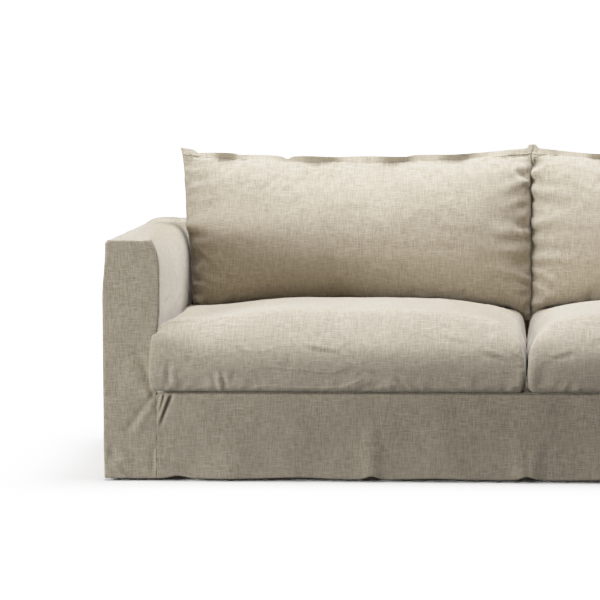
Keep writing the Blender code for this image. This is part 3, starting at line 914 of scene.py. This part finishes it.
def makeBackOutside():
    top = sofa["backTop"] - cloth["topGap"]
    radius = cloth["cornerRound"]
    edge = rings(radius) / sofa["halfWidth"]
    middle = lines((-1 + edge[-1], backOutside["cell"]), (1 - edge[-1], 0))
    across = np.concatenate([-1 + edge[:-1], middle, (1 - edge[:-1])[::-1]])
    low = lines(*backOutside["rows"], (top - radius, 0))
    up = np.concatenate([low, (top - rings(radius)[:-1])[::-1]])
    path, length, _ = armSection(1)
    crest = length < arm["topMiddle"]
    corner = path[crest] + np.stack([length[crest] * 0, cornerRise(sofa["rearY"], length[crest])], 1)

    def rearOut(z):
        side = np.interp(z, corner[:, 1], corner[:, 0])
        return np.where(z < corner[0, 1], outerFace(z), side) - cloth["edgeGap"]

    heights = np.linspace(0, top, cloth["outlinePoints"])
    right = np.stack([rearOut(heights), heights], 1)
    outline = np.concatenate([right * (-1, 1), right[::-1]])
    hemTurn, hemStart = backOutside["hemWave"]

    def place(u, v):
        share = u / sofa["halfWidth"]
        x = share * rearOut(v)
        away = outlineDistance(x, v, outline)
        points = np.stack([x, v * 0 + backOutside["noiseY"], v], 1)
        calm = soft(0.0, backOutside["calm"], away)
        wave = foldLift(backOutside["folds"], x, v)
        wave += rumpled(points, backOutside["rumple"]) - backOutside["sink"]
        y = sofa["rearY"] + np.minimum(wave, 0.0) * calm - rollDepth(away, radius)
        rise = backOutside["hemRise"] * np.sin(hemTurn * x + hemStart) ** 2 * nearHem(v) * calm
        return np.stack([x, y, v + rise], 1)

    clothSheet("back_outside", across * sofa["halfWidth"], up, place, (0, 1, 0))


# the cushions

def softCage(cuts):  # a cube from -1 to 1 with its edges cut into pieces along X, Y and Z
    cage = bmesh.new()
    bmesh.ops.create_cube(cage, size=2)
    for axis, pieces in enumerate(cuts):
        along = []
        for edge in cage.edges:
            start, end = edge.verts
            if abs(start.co[axis] - end.co[axis]) > 1:
                along.append(edge)
        bmesh.ops.subdivide_edges(cage, edges=along, cuts=pieces - 1, use_grid_fill=True)
    return cage


def subdivided(piece, levels):  # the mesh with its subdivision applied
    body = piece.modifiers.new("soften", "SUBSURF")
    body.levels = levels
    body.render_levels = levels
    seen = piece.evaluated_get(bpy.context.evaluated_depsgraph_get())
    applied = bpy.data.meshes.new_from_object(seen)
    piece.modifiers.remove(body)
    return applied


# cloth simulation: the cover is a little too large and is blown up
def fillWithAir(piece, recipe, held, slack):
    start = readPoints(piece.data)
    for name, weights in (("held", held), ("slack", slack)):
        group = piece.vertex_groups.new(name=name)
        for i in np.nonzero(weights > 0)[0]:
            group.add([int(i)], float(weights[i]), "REPLACE")
    body = piece.modifiers.new("filling", "CLOTH")
    rules = body.settings
    rules.quality = recipe["quality"]
    rules.mass = recipe["mass"]
    rules.bending_stiffness = recipe["bending"]
    rules.air_damping = recipe["air"]
    for pull in ("tension", "compression", "shear"):
        setattr(rules, pull + "_stiffness", recipe[pull])
        setattr(rules, pull + "_damping", recipe["damping"])
    rules.vertex_group_mass = "held"
    rules.vertex_group_shrink = "slack"
    rules.shrink_min = -recipe["slack"][0]
    rules.shrink_max = -recipe["slack"][1]
    rules.use_pressure = True
    rules.uniform_pressure_force = recipe["pressure"]
    rules.effector_weights.gravity = 0
    body.collision_settings.use_collision = False
    body.point_cache.frame_start = 1
    body.point_cache.frame_end = recipe["frames"]
    scene = bpy.context.scene
    for number in range(1, recipe["frames"] + 1):
        scene.frame_set(number)
    seen = piece.evaluated_get(bpy.context.evaluated_depsgraph_get())
    shape = seen.to_mesh()
    moved = readPoints(shape) - start
    seen.to_mesh_clear()
    piece.modifiers.remove(body)
    scene.frame_set(1)
    far = np.linalg.norm(moved, axis=1)
    limit = recipe["cap"]
    moved *= (limit * np.tanh(far / limit) / np.maximum(far, 1e-9))[:, None]  # none goes past the cap
    writePoints(piece.data, start + moved)
    piece.vertex_groups.clear()
    print(f"{piece.name} was blown up by {far.mean():.4f} m on average, {far.max():.4f} m at most")


seat = {
    "frontY": -0.497,
    "rearY": 0.352,
    "out": 0.984,
    "middle": 0.0015,
    "shift": -0.003,
    "crown": 0.0375,
    "armFallFrom": 0.36,  # the crown falls softly from here to the arm
    "middleFall": 3.6,  # and late and steeply towards the other cushion
    "crownAt": -0.25,  # it is highest a little in front of the middle
    "crownFall": (3.0, 2.0),
    "rearFall": 0.012,
    "rearFallFrom": -0.6,
    "sideShare": (1.15, 0.16),  # how round the top edge is beside the other cushion and beside the arm
    "armRaise": [0.000, 0.000, 0.000, 0.006, 0.014, 0.010],  # the cushion is squeezed up along the arm
    "armRaiseFrom": 0.80,
    "flare": [0.029, 0.036, 0.036, 0.037, 0.028, 0.004],  # the front spreads before the arm, row by row
    "flareEndY": -0.4695,
    "belly": 0.006,
    "bellyEnd": 0.4,  # share of the belly that is lost at the front's two ends
    "level": [0.00, 0.15, 0.40, 0.68, 0.86, 1.00],  # share of the height, row by row
    "z": [sofa["deckTop"] + cloth["edgeGap"], 0.250, 0.300, 0.352, 0.388, 0.408],
    "side": [0.006, 0.000, 0.000, 0.003, 0.013, 0.046],
    "front": [0.012, 0.003, 0.002, 0.015, 0.046, 0.104],
    "armFront": 0.45,  # how much squarer the front's upper edge is at the arm
    "armFrontFrom": 0.75,
    "rear": [0.012, 0.002, 0.000, 0.004, 0.016, 0.050],
    "lengthwise": [-0.80, -0.56, -0.28, 0.0, 0.28, 0.56, 0.82, 1.0],
    "crosswise": [-1.0, -0.93, -0.80, -0.62, -0.42, -0.21, 0.0, 0.21, 0.42, 0.62, 0.80, 0.93, 1.0],
    "weaveTurn": 0.03,  # joins the weave of the front to that of the top
    "filling": {
        "quality": 5, "mass": 0.3, "tension": 20, "compression": 15, "shear": 6, "bending": 0.6,
        "damping": 6, "air": 2.0, "slack": (0.015, 0.05), "pressure": 3.0, "frames": 20, "cap": 0.010,
    },
    "heldFoot": 0.03,
    "heldRear": (0.10, 0.20),  # the depth over which the hold on its rear sets in
    "slackUnderZ": (0.36, 0.10),  # the cover is slack under this height, and how fast that sets in
    "slackSide": (0.49, 0.43, 0.06),  # the cushion's middle, where the slack begins, and its width
    "fineFrontY": -0.40,
    "facing": (0.15, 0.8),
    "footCalm": 0.012,
    "rumple": [(0.0019, 0.11, 26), (0.0006, 0.04, 28)],
    "crumple": [  # the size of the waves each way, width, height and two seeds
        ((0.12, 0.08, 0.05), 0.085, 0.0009, 40, 90),
        ((0.06, 0.06, 0.08), 0.09, 0.0006, 41, 91),
    ],
    "creaseShare": 0.85,
    "fill": 0.85,
    "creases": [
        Crease(0.8330, 0.2920, 0.8240, 0.2380, 0.0060, -0.0040, 0.0, 0.0),
        Crease(0.8140, 0.2940, 0.7960, 0.2380, 0.0065, -0.0045, -0.0018, 0.0),
        Crease(0.8235, 0.2800, 0.8090, 0.2380, 0.0060, 0.0040, 0.0, 0.0),
        Crease(0.7750, 0.2920, 0.7930, 0.2400, 0.0070, -0.0030, 0.0, 0.0),
        Crease(0.9545, 0.3170, 0.9520, 0.2500, 0.0070, -0.0035, -0.0010, 0.0),
        Crease(0.9400, 0.3050, 0.9340, 0.2450, 0.0070, 0.0025, 0.0, 0.0),
        Crease(0.6290, 0.3650, 0.6330, 0.2900, 0.0090, -0.0020, 0.0, 0.0),
        Crease(0.7220, 0.4330, 0.7000, 0.3980, 0.0060, 0.0022, 0.0016, 0.0),
        Crease(0.7670, 0.3640, 0.7420, 0.3340, 0.0070, 0.0022, 0.0018, 0.0),
        Crease(0.5980, 0.3655, 0.5020, 0.3490, 0.0065, 0.0018, 0.0018, 0.003),
        Crease(0.3380, 0.3000, 0.3350, 0.2400, 0.0140, -0.0025, 0.0, 0.0),
        Crease(0.1200, 0.3500, 0.0500, 0.3300, 0.0080, 0.0016, 0.0016, 0.0),
        Crease(0.5120, 0.4350, 0.5230, 0.3850, 0.0060, 0.0018, 0.0014, 0.0),
        Crease(0.3330, 0.2780, 0.2990, 0.2400, 0.0070, 0.0024, 0.0018, 0.0),
        Crease(0.4600, 0.4200, 0.4450, 0.3800, 0.0070, 0.0016, 0.0012, 0.0),
        Crease(0.2300, 0.3900, 0.1500, 0.3700, 0.0080, 0.0014, 0.0012, 0.0),
    ],
    "footGathers": Gathers(0.02, 0.98, (0.030, 0.075), (0.018, 0.045), (0.005, 0.010), 0.25, 0.0022, 50),
}
seatCentre = (seat["out"] + seat["middle"]) / 2
seatHalf = (seat["out"] - seat["middle"]) / 2


def seatTop(across, depth):  # how far the crown rises over the upper edge
    power, part = seat["crownFall"]
    toArm = soft(seat["armFallFrom"], 1.0, across)
    fall = np.where(across > 0, toArm, abs(across) ** seat["middleFall"])
    rise = seat["crown"] * (1 - fall) * (1 - abs(depth - seat["crownAt"]) ** power / part)
    return rise - seat["rearFall"] * soft(seat["rearFallFrom"], 1.0, depth)


def makeSeatCushion(side, label):
    flareAt = 1 - 2 * (seat["rearY"] - seat["flareEndY"]) / (seat["rearY"] - seat["frontY"])
    lengthwise = [-1.0, flareAt] + seat["lengthwise"]
    cuts = (len(seat["crosswise"]) - 1, len(lengthwise) - 1, len(seat["z"]) - 1)
    cage = softCage(cuts)
    weave = cage.loops.layers.uv.new("weave")
    groups = {}
    for face in cage.faces:
        groups[face] = tuple(round(part) for part in face.normal)
    for vertex in cage.verts:
        column, step, row = [round((at + 1) / 2 * count) for at, count in zip(vertex.co, cuts)]
        across = seat["crosswise"][column]
        depth = lengthwise[step]
        level = seat["level"][row]
        front = seat["front"][row] * (1 - seat["armFront"] * soft(seat["armFrontFrom"], 1.0, across))
        y = blend(seat["frontY"] + front, seat["rearY"] - seat["rear"][row], (depth + 1) / 2)
        inset = seat["side"][row] * blend(*seat["sideShare"], (across + 1) / 2)
        out = seatCentre + across * (seatHalf - inset)
        z = seat["z"][row] + seat["armRaise"][row] * soft(seat["armRaiseFrom"], 1.0, across)
        if row == cuts[2]:
            z += seatTop(across, depth)
        if depth == -1.0:
            y -= seat["belly"] * math.sin(math.pi * level) * (1 - seat["bellyEnd"] * across**4)
            if across == 1.0:
                out += seat["flare"][row]
        out += side * seat["shift"] * (1 - across) / 2
        vertex.co = (side * out, y, z)
    for face in cage.faces:  # weave measures: top and front run on into each other
        facing = groups[face]
        for loop in face.loops:
            place = loop.vert.co
            if facing[0]:
                loop[weave].uv = (place.y, place.z)
            elif facing[1]:
                along = place.z - seat["z"][-1] + seat["frontY"] + seat["weaveTurn"]
                loop[weave].uv = (place.x, along)
            else:
                loop[weave].uv = (place.x, place.y)
    if side < 0:
        bmesh.ops.reverse_faces(cage, faces=cage.faces[:])
    data = bpy.data.meshes.new(f"seat_cushion_{label}_linen")
    cage.to_mesh(data)
    cage.free()
    piece = addObject(data.name, data)
    piece.data = subdivided(piece, 2)
    points = readPoints(piece.data)
    toDeck = points[:, 2] - sofa["deckTop"]
    held = np.maximum(1 - soft(0.0, seat["heldFoot"], toDeck), soft(*seat["heldRear"], points[:, 1]))
    slackZ, reach = seat["slackUnderZ"]
    lowSlack = soft(0.0, reach, slackZ - points[:, 2])
    slackMiddle, slackStart, reach = seat["slackSide"]
    sideSlack = soft(reach, 0.0, np.abs(np.abs(points[:, 0]) - slackMiddle) - slackStart)
    slack = np.maximum(lowSlack, sideSlack)
    fillWithAir(piece, seat["filling"], held, slack)
    piece.data = subdivided(piece, 1)
    refineFront(piece.data)
    wrinkleSeat(piece.data, side)
    dress(piece, f"seat_cushion_{label}", cushionLinen)
    print("seat cushion", label, "is filled:", len(piece.data.polygons), "faces")


def refineFront(data):  # halves the faces that show from the front
    shape = bmesh.new()
    shape.from_mesh(data)
    limit = seat["fineFrontY"]
    near = [edge for edge in shape.edges if max(vertex.co.y for vertex in edge.verts) < limit]
    bmesh.ops.subdivide_edges(shape, edges=near, cuts=1, use_grid_fill=True, smooth=0.0)
    shape.to_mesh(data)
    shape.free()


def wrinkleSeat(data, side):
    points = readPoints(data)
    normals = readNormals(data)
    out = side * points[:, 0]
    z = points[:, 2]
    toDeck = z - sofa["deckTop"]
    facing = soft(*seat["facing"], -normals[:, 1])
    lift = seat["creaseShare"] * creaseLift(seat["creases"], out, z) * facing
    lift += gatherLift(out, toDeck, seat["footGathers"], side) * facing
    lift += rumpled(points, seat["rumple"], side)
    lift += crumple(points, seat["crumple"], side)
    lift *= soft(0.0, seat["footCalm"], toDeck)
    writePoints(data, points + normals * lift[:, None])


pillow = {
    "footZ": 0.385,
    "footDrop": 0.022,  # the corners at the middle sink between the seat cushions
    "footReach": 0.05,
    "footInset": 0.002,
    "footInsetZ": (0.385, 0.430),
    "lowLevel": 0.3,  # up to here it may rest on the seat cushion
    "seamY": 0.262,
    "lean": 0.026,
    "front": 0.112,
    "rear": 0.104,
    "armEdge": 0.0022,
    "middleEdge": 0.006,
    "middleReach": 0.06,
    "sideRound": (3.6, 0.55),
    "flange": 0.0016,
    "flangeBack": 0.007,
    "flangeWave": (0.0025, 37),
    "clear": 0.004,
    "backGap": 0.0005,
    "overBack": 0.02,
    "span": 0.99,
    "rightWave": (0.02, 5.0),  # the right cushion isn't quite the left one's mirror
    "rearWeave": 1.3,  # the rear's weave lies this far from the front's
    "closer": (0.45, 0.55),  # the grid's columns are closer at the two sides
    "columns": 170,
    "bodyRows": 76,
    "flangeRows": 6,
    "swell": curve(  # how full the cushion is, from its foot to its upper seam
        [0.0, 0.03, 0.06, 0.12, 0.20, 0.30, 0.40, 0.50, 0.60, 0.70, 0.80, 0.88, 0.94, 0.975, 1.0],
        [0.0, 0.30, 0.44, 0.62, 0.78, 0.91, 0.98, 0.99, 0.94, 0.83, 0.68, 0.53, 0.38, 0.23, 0.0],
    ),
    "armSide": curve(  # its side towards the arm, by the height
        [0.380, 0.420, 0.540, 0.600, 0.640, 0.755, 0.830, 0.860],
        [0.956, 0.970, 0.9745, 0.9805, 0.9880, 0.9925, 0.9990, 1.006],
    ),
    "jointX": 0.0062,  # the two cushions meet here, a little right of the middle
    "jointGap": 0.0018,
    "jointLap": 0.004,
    "jointWaves": [(0.0012, 57, 0), (0.0008, 133, 1)],
    "ear": 0.0075,
    "earZ": (0.838, 0.856),
    "crestZ": curve(  # the top of the filled part, by the distance from the middle
        [0.0, 0.010, 0.139, 0.254, 0.364, 0.422, 0.573, 0.607, 0.691, 0.760, 0.839, 0.885, 0.946, 1.0],
        [0.847, 0.8455, 0.8330, 0.8245, 0.8210, 0.8160, 0.8230, 0.8195, 0.8218, 0.8296, 0.8284, 0.8333,
         0.8391, 0.8480],
    ),
    "crest": 0.0045,  # how far the crest stands over the seam behind it
    "crestLevel": (0.965, 0.028),
    "flangeZ": curve(  # the flange's edge, by the distance from the middle
        [-0.012, 0.004, 0.012, 0.049, 0.145, 0.226, 0.319, 0.351, 0.456, 0.546, 0.633, 0.672, 0.689,
         0.708, 0.749, 0.793, 0.826, 0.835, 0.880, 0.923, 0.943, 0.952, 0.981, 1.006],
        [0.8665, 0.8680, 0.8575, 0.8537, 0.8440, 0.8395, 0.8386, 0.8336, 0.8351, 0.8330, 0.8362, 0.8351,
         0.8275, 0.8351, 0.8386, 0.8397, 0.8397, 0.8438, 0.8467, 0.8458, 0.8455, 0.8540, 0.8600, 0.8650],
    ),
    "flangeLean": [  # place, half width, and how far the flange's edge comes forward there
        (0.864, 0.026, 0.017),
        (0.600, 0.048, 0.018),
        (0.385, 0.042, 0.018),
        (0.215, 0.044, 0.016),
        (0.100, 0.030, -0.004),
        (0.500, 0.030, -0.006),
        (0.760, 0.045, -0.005),
    ],
    "filling": {
        "quality": 5, "mass": 0.25, "tension": 18, "compression": 12, "shear": 5, "bending": 0.25,
        "damping": 6, "air": 2.0, "slack": (0.02, 0.14), "pressure": 2.2, "frames": 22, "cap": 0.018,
    },
    "slackReach": 0.08,
    "edgeCalm": 0.010,
    "rumple": [(0.0030, 0.12, 32), (0.0008, 0.04, 34)],
    "crumple": [
        ((0.11, 0.11, 0.042), 0.085, 0.0016, 60, 110),
        ((0.07, 0.07, 0.055), 0.09, 0.0011, 61, 111),
    ],
    "fill": 0.75,
    "creases": [
        Crease(0.9474, 0.7019, 0.8931, 0.7220, 0.0060, 0.0022, 0.0026, 0.003),
        Crease(0.9618, 0.6000, 0.8959, 0.5359, 0.0080, 0.0030, 0.0030, 0.006),
        Crease(0.9646, 0.5130, 0.8673, 0.4701, 0.0080, 0.0035, 0.0030, 0.006),
        Crease(0.9675, 0.4350, 0.9245, 0.4000, 0.0070, 0.0030, 0.0030, 0.0),
        Crease(0.8330, 0.6975, 0.7671, 0.6962, 0.0050, 0.0009, 0.0012, 0.0),
        Crease(0.3034, 0.7363, 0.1660, 0.7363, 0.0050, 0.0010, 0.0014, 0.003),
        Crease(0.2805, 0.6345, 0.0372, 0.6332, 0.0055, 0.0014, 0.0016, -0.004),
        Crease(0.2662, 0.5874, 0.1946, 0.5874, 0.0050, 0.0010, 0.0012, 0.0),
        Crease(0.4500, 0.5500, 0.3600, 0.5300, 0.0060, 0.0010, 0.0012, 0.0),
        Crease(0.6500, 0.6100, 0.5800, 0.6250, 0.0060, 0.0009, 0.0010, 0.0),
    ],
    "armGathers": Gathers(0.40, 0.80, (0.022, 0.046), (0.035, 0.085), (0.006, 0.011), 0.40, 0.0058, 70),
    "middleGathers": Gathers(0.39, 0.83, (0.020, 0.042), (0.04, 0.10), (0.006, 0.012), 0.45, 0.0078, 80),
    "jointGathers": Gathers(0.37, 0.83, (0.013, 0.026), (0.014, 0.034),
                            (0.0055, 0.0085), 0.5, 0.005, 110),
    "topGathers": Gathers(0.04, 0.96, (0.030, 0.070), (0.010, 0.030), (0.006, 0.012), 0.3, 0.0016, 90),
}


def seatSurfaceZ(out, y):  # height of the seat cushion under a point, a little above its cloth
    front = seat["frontY"] + seat["front"][-1]
    rear = seat["rearY"] - seat["rear"][-1]
    share = np.where(out > seatCentre, seat["sideShare"][1], seat["sideShare"][0])
    half = seatHalf - seat["side"][-1] * share
    across = np.clip((out - seatCentre) / half, -1, 1)
    depth = np.clip(2 * (y - front) / (rear - front) - 1, -1, 1)
    inset = np.minimum(seat["out"] - out, out - seat["middle"]) / share
    shoulder = np.interp(inset, seat["side"][2:], seat["z"][2:])
    shoulder += seat["armRaise"][-1] * soft(seat["armRaiseFrom"], 1.0, across)
    return shoulder + seatTop(across, depth)


def makeBackCushion(side, label):
    rows = pillow["bodyRows"] + pillow["flangeRows"]
    cage = softCage((pillow["columns"], 4, rows))
    data = bpy.data.meshes.new(f"back_cushion_{label}_linen")
    cage.to_mesh(data)
    cage.free()
    start = readPoints(data)
    curved, even = pillow["closer"]
    across = np.sin(start[:, 0] * math.pi / 2) * curved + start[:, 0] * even
    through = start[:, 1]  # -1 on the front, 1 on the rear
    row = np.rint((start[:, 2] + 1) / 2 * rows)
    level = 0.5 - 0.5 * np.cos(math.pi * np.clip(row / pillow["bodyRows"], 0, 1))
    reach = np.clip((row - pillow["bodyRows"]) / pillow["flangeRows"], 0, 1)
    isFlange = row >= pillow["bodyRows"]
    near = 0.5 + across / 2  # 0 at the middle of the sofa, 1 at the arm
    out = near * pillow["span"]
    if side > 0:
        high, turns = pillow["rightWave"]
        out = out + high * np.sin(turns * out) * (1 - out)
    crestLevel, crestWidth = pillow["crestLevel"]
    crest = np.exp(-(((level - crestLevel) / crestWidth) ** 2))
    footZ = pillow["footZ"] - pillow["footDrop"] * np.exp(-((near / pillow["footReach"]) ** 2))
    z = blend(footZ, pillow["crestZ"](out) - pillow["crest"], level) + pillow["crest"] * crest
    z = np.where(isFlange, blend(z, pillow["flangeZ"](out), reach), z)
    seamY = pillow["seamY"] + pillow["lean"] * level + pillow["flangeBack"] * reach
    for place, width, lean in pillow["flangeLean"]:
        seamY = seamY - lean * np.exp(-(((out - place) / width) ** 4)) * reach
    high, turns = pillow["flangeWave"]
    seamY = seamY + high * np.sin(turns * out + 2 * side) * reach
    joint = pillow["jointX"] + pillow["ear"] * soft(*pillow["earZ"], z) - pillow["jointLap"] * through
    for high, turns, start in pillow["jointWaves"]:
        joint = joint + high * np.sin(turns * z + start)
    foot = pillow["footInset"] * (1 - soft(*pillow["footInsetZ"], z))
    middle = side * joint + pillow["jointGap"] + foot
    out = blend(middle, pillow["armSide"](z), near)
    edge = blend(pillow["middleEdge"], pillow["armEdge"], soft(0.0, pillow["middleReach"], near))
    edge = np.where(isFlange, pillow["flange"], edge)
    roundPower, fullPower = pillow["sideRound"]
    sides = np.maximum(1 - np.abs(across) ** roundPower, 0) ** fullPower
    swell = np.where(isFlange, 0.0, sides * pillow["swell"](level))
    y = seamY + through * edge
    isFront = through < hair - 1
    isRear = through > 1 - hair
    y = y - np.where(isFront, pillow["front"] * swell, 0.0)
    y = y + np.where(isRear, pillow["rear"] * swell, 0.0)
    pressed = isRear & (z < sofa["backTop"] + pillow["overBack"])
    y = np.where(pressed, np.minimum(y, sofa["backFaceY"] - pillow["backGap"]), y)
    isLow = level < pillow["lowLevel"]
    z = np.where(isLow, np.maximum(z, seatSurfaceZ(out, y) + pillow["clear"]), z)
    setWeave(data, np.stack([side * out, z + np.where(isFront, 0.0, pillow["rearWeave"])], 1))
    writePoints(data, np.stack([side * out, y, z], 1))
    if side < 0:
        data.flip_normals()
    piece = addObject(data.name, data)
    free = isFront & ~isFlange & (row > 0) & (np.abs(across) < 1 - hair)
    slack = np.exp(-((np.minimum(near, 1 - near) / pillow["slackReach"]) ** 2))
    fillWithAir(piece, pillow["filling"], np.where(free, 0.0, 1.0), slack)
    points = readPoints(data)
    resting = seatSurfaceZ(side * points[:, 0], points[:, 1]) + pillow["clear"]
    points[:, 2] = np.where(isLow, np.maximum(points[:, 2], resting), points[:, 2])
    writePoints(data, points)
    wrinklePillow(data, side, out, isFront & ~isFlange)
    dress(piece, f"back_cushion_{label}", cushionLinen)
    print("back cushion", label, "is filled:", len(data.polygons), "faces")


def wrinklePillow(data, side, first, isFront):  # first is each point's place before it was filled
    points = readPoints(data)
    normals = readNormals(data)
    out = side * points[:, 0]
    z = points[:, 2]
    toArm = pillow["armSide"](z) - out
    toMiddle = out - side * pillow["jointX"]
    toTop = pillow["crestZ"](first) - z
    lift = creaseLift(pillow["creases"], out, z)
    lift += gatherLift(z, toArm, pillow["armGathers"], side)
    lift += gatherLift(z, toMiddle, pillow["middleGathers"], side)
    lift += gatherLift(z, toMiddle, pillow["jointGathers"], side)
    lift += gatherLift(out, toTop, pillow["topGathers"], side)
    lift += rumpled(points, pillow["rumple"], side)
    lift += crumple(points, pillow["crumple"], side)
    edges = np.minimum(np.minimum(toArm, toMiddle), toTop)
    lift *= soft(0.0, pillow["edgeCalm"], edges) * np.where(isFront, 1.0, 0.0)
    writePoints(data, points + normals * lift[:, None])


for side, label in ((-1, "left"), (1, "right")):
    makeArmFront(side, label)
    makeArmSide(side, label)
    makeArmTop(side, label)
    makeSeatCushion(side, label)
    makeBackCushion(side, label)
makeApron()
makeDeck()
makeBackInside()
makeBackOutside()


# floor, light and camera

Lamp = namedtuple("Lamp", "name kind place towards size strength")
studio = {
    "floorZ": -0.0075,
    "floorSize": 4.0,
    "floorTone": 2.0,
    "floorFade": (0.06, 0.42),
    "ambient": 0.02,
    "brightest": 4.0,  # the light that shows as white
    "tones": [  # a light, and how it is shown
        (0.12, 0.12), (0.24, 0.24), (0.435, 0.415), (0.62, 0.55), (0.80, 0.66), (1.00, 0.76),
        (1.30, 0.85), (1.80, 0.915), (2.60, 0.965),
    ],
    "lights": [
        Lamp("overhead", "AREA", (-0.35, 0.0, 2.6), (-0.1, 0.0, 0.4), 2.0, 87),
        Lamp("softbox", "AREA", (0.1, 0.0, 1.9), (0.0, 0.0, 0.4), 1.6, 13),
        Lamp("highBack", "SUN", None, (0.45, 0.25, 0.85), 30, 1.62),
        Lamp("lowSun", "SUN", None, (-0.70, -0.70, 0.12), 20, 0.91),
        Lamp("window", "AREA", (-3.2, -1.8, 0.8), (0.0, -0.2, 0.4), 0.5, 42),
        Lamp("frontSide", "AREA", (-3.5, -3.5, 0.9), (0.0, -0.4, 0.4), 0.8, 36),
    ],
}
camera = {
    "place": (0.0, -8.432, 1.137),
    "lens": 181.36,
    "left": 4.328,
    "down": 4.704,
    "roll": -0.282,
    "far": 200,
}


def makeFloor():  # pale near the sofa, and clear further off, where the white studio shows
    shape = bmesh.new()
    bmesh.ops.create_grid(shape, x_segments=1, y_segments=1, size=studio["floorSize"])
    data = bpy.data.meshes.new("floor")
    shape.to_mesh(data)
    shape.free()
    floor = addObject("floor", data)
    floor.location.z = studio["floorZ"]
    paint = Finish("paleFloor")
    x, y = paint.split(paint.node("NewGeometry"))
    beside = (x.absolute() - sofa["halfWidth"]).atLeast(0.0)
    before = (y.absolute() - sofa["rearY"]).atLeast(0.0)
    away = (beside * beside + before * before) ** 0.5
    paint.shade({
        "Alpha": 1 - paint.sharpen(away, *studio["floorFade"]),
        "Base Color": (*[studio["floorTone"]] * 3, 1),
        "Roughness": 1.0,
        "Specular IOR Level": 0.0,
    })
    data.materials.append(paint.material)
    floor.visible_diffuse = False


def makeLamp(recipe):  # a sun has a direction and an angle, an area light a place, a target and a width
    data = bpy.data.lights.new(recipe.name, recipe.kind)
    data.energy = recipe.strength
    light = addObject(recipe.name, data)
    if recipe.kind == "SUN":
        data.angle = math.radians(recipe.size)
        away = Vector(recipe.towards)
    else:
        data.size = recipe.size
        away = Vector(recipe.place) - Vector(recipe.towards)
        light.location = recipe.place
    light.rotation_euler = away.to_track_quat("Z", "Y").to_euler()


def makeWorld():
    world = bpy.data.worlds.new("studio")
    world.use_nodes = True
    bpy.context.scene.world = world
    tree = world.node_tree
    path = tree.nodes.new("ShaderNodeLightPath")
    strength = tree.nodes.new("ShaderNodeMapRange")
    strength.inputs["To Min"].default_value = studio["ambient"]
    strength.inputs["To Max"].default_value = studio["brightest"]
    tree.links.new(path.outputs["Is Camera Ray"], strength.inputs["Value"])
    tree.links.new(strength.outputs[0], tree.nodes["Background"].inputs["Strength"])
    tree.nodes["Background"].inputs["Color"].default_value = (1, 1, 1, 1)


def setTone():  # as in a bright studio photo, the lightest tones are drawn together
    view = bpy.context.scene.view_settings
    view.view_transform = "Standard"
    view.use_curve_mapping = True
    view.curve_mapping.white_level = [studio["brightest"]] * 3
    line = view.curve_mapping.curves[3]
    for light, seen in studio["tones"]:
        line.points.new(light / studio["brightest"], seen)
    view.curve_mapping.update()


def makeCamera():
    yaw = math.radians(camera["left"])
    pitch = math.radians(camera["down"])
    roll = math.radians(camera["roll"])
    level = math.cos(pitch)
    forward = Vector((-math.sin(yaw) * level, math.cos(yaw) * level, -math.sin(pitch)))
    right = Vector((math.cos(yaw), math.sin(yaw), 0))
    up = right.cross(forward)
    turnedRight = right * math.cos(roll) + up * math.sin(roll)
    turnedUp = up * math.cos(roll) - right * math.sin(roll)
    data = bpy.data.cameras.new("camera")
    data.lens = camera["lens"]
    data.clip_end = camera["far"]
    viewer = addObject("camera", data)
    turn = Matrix((turnedRight, turnedUp, -forward)).transposed()
    viewer.matrix_world = Matrix.Translation(camera["place"]) @ turn.to_4x4()
    bpy.context.scene.camera = viewer


makeFloor()
for recipe in studio["lights"]:
    makeLamp(recipe)
makeWorld()
makeCamera()
setTone()
print("the studio is lit")
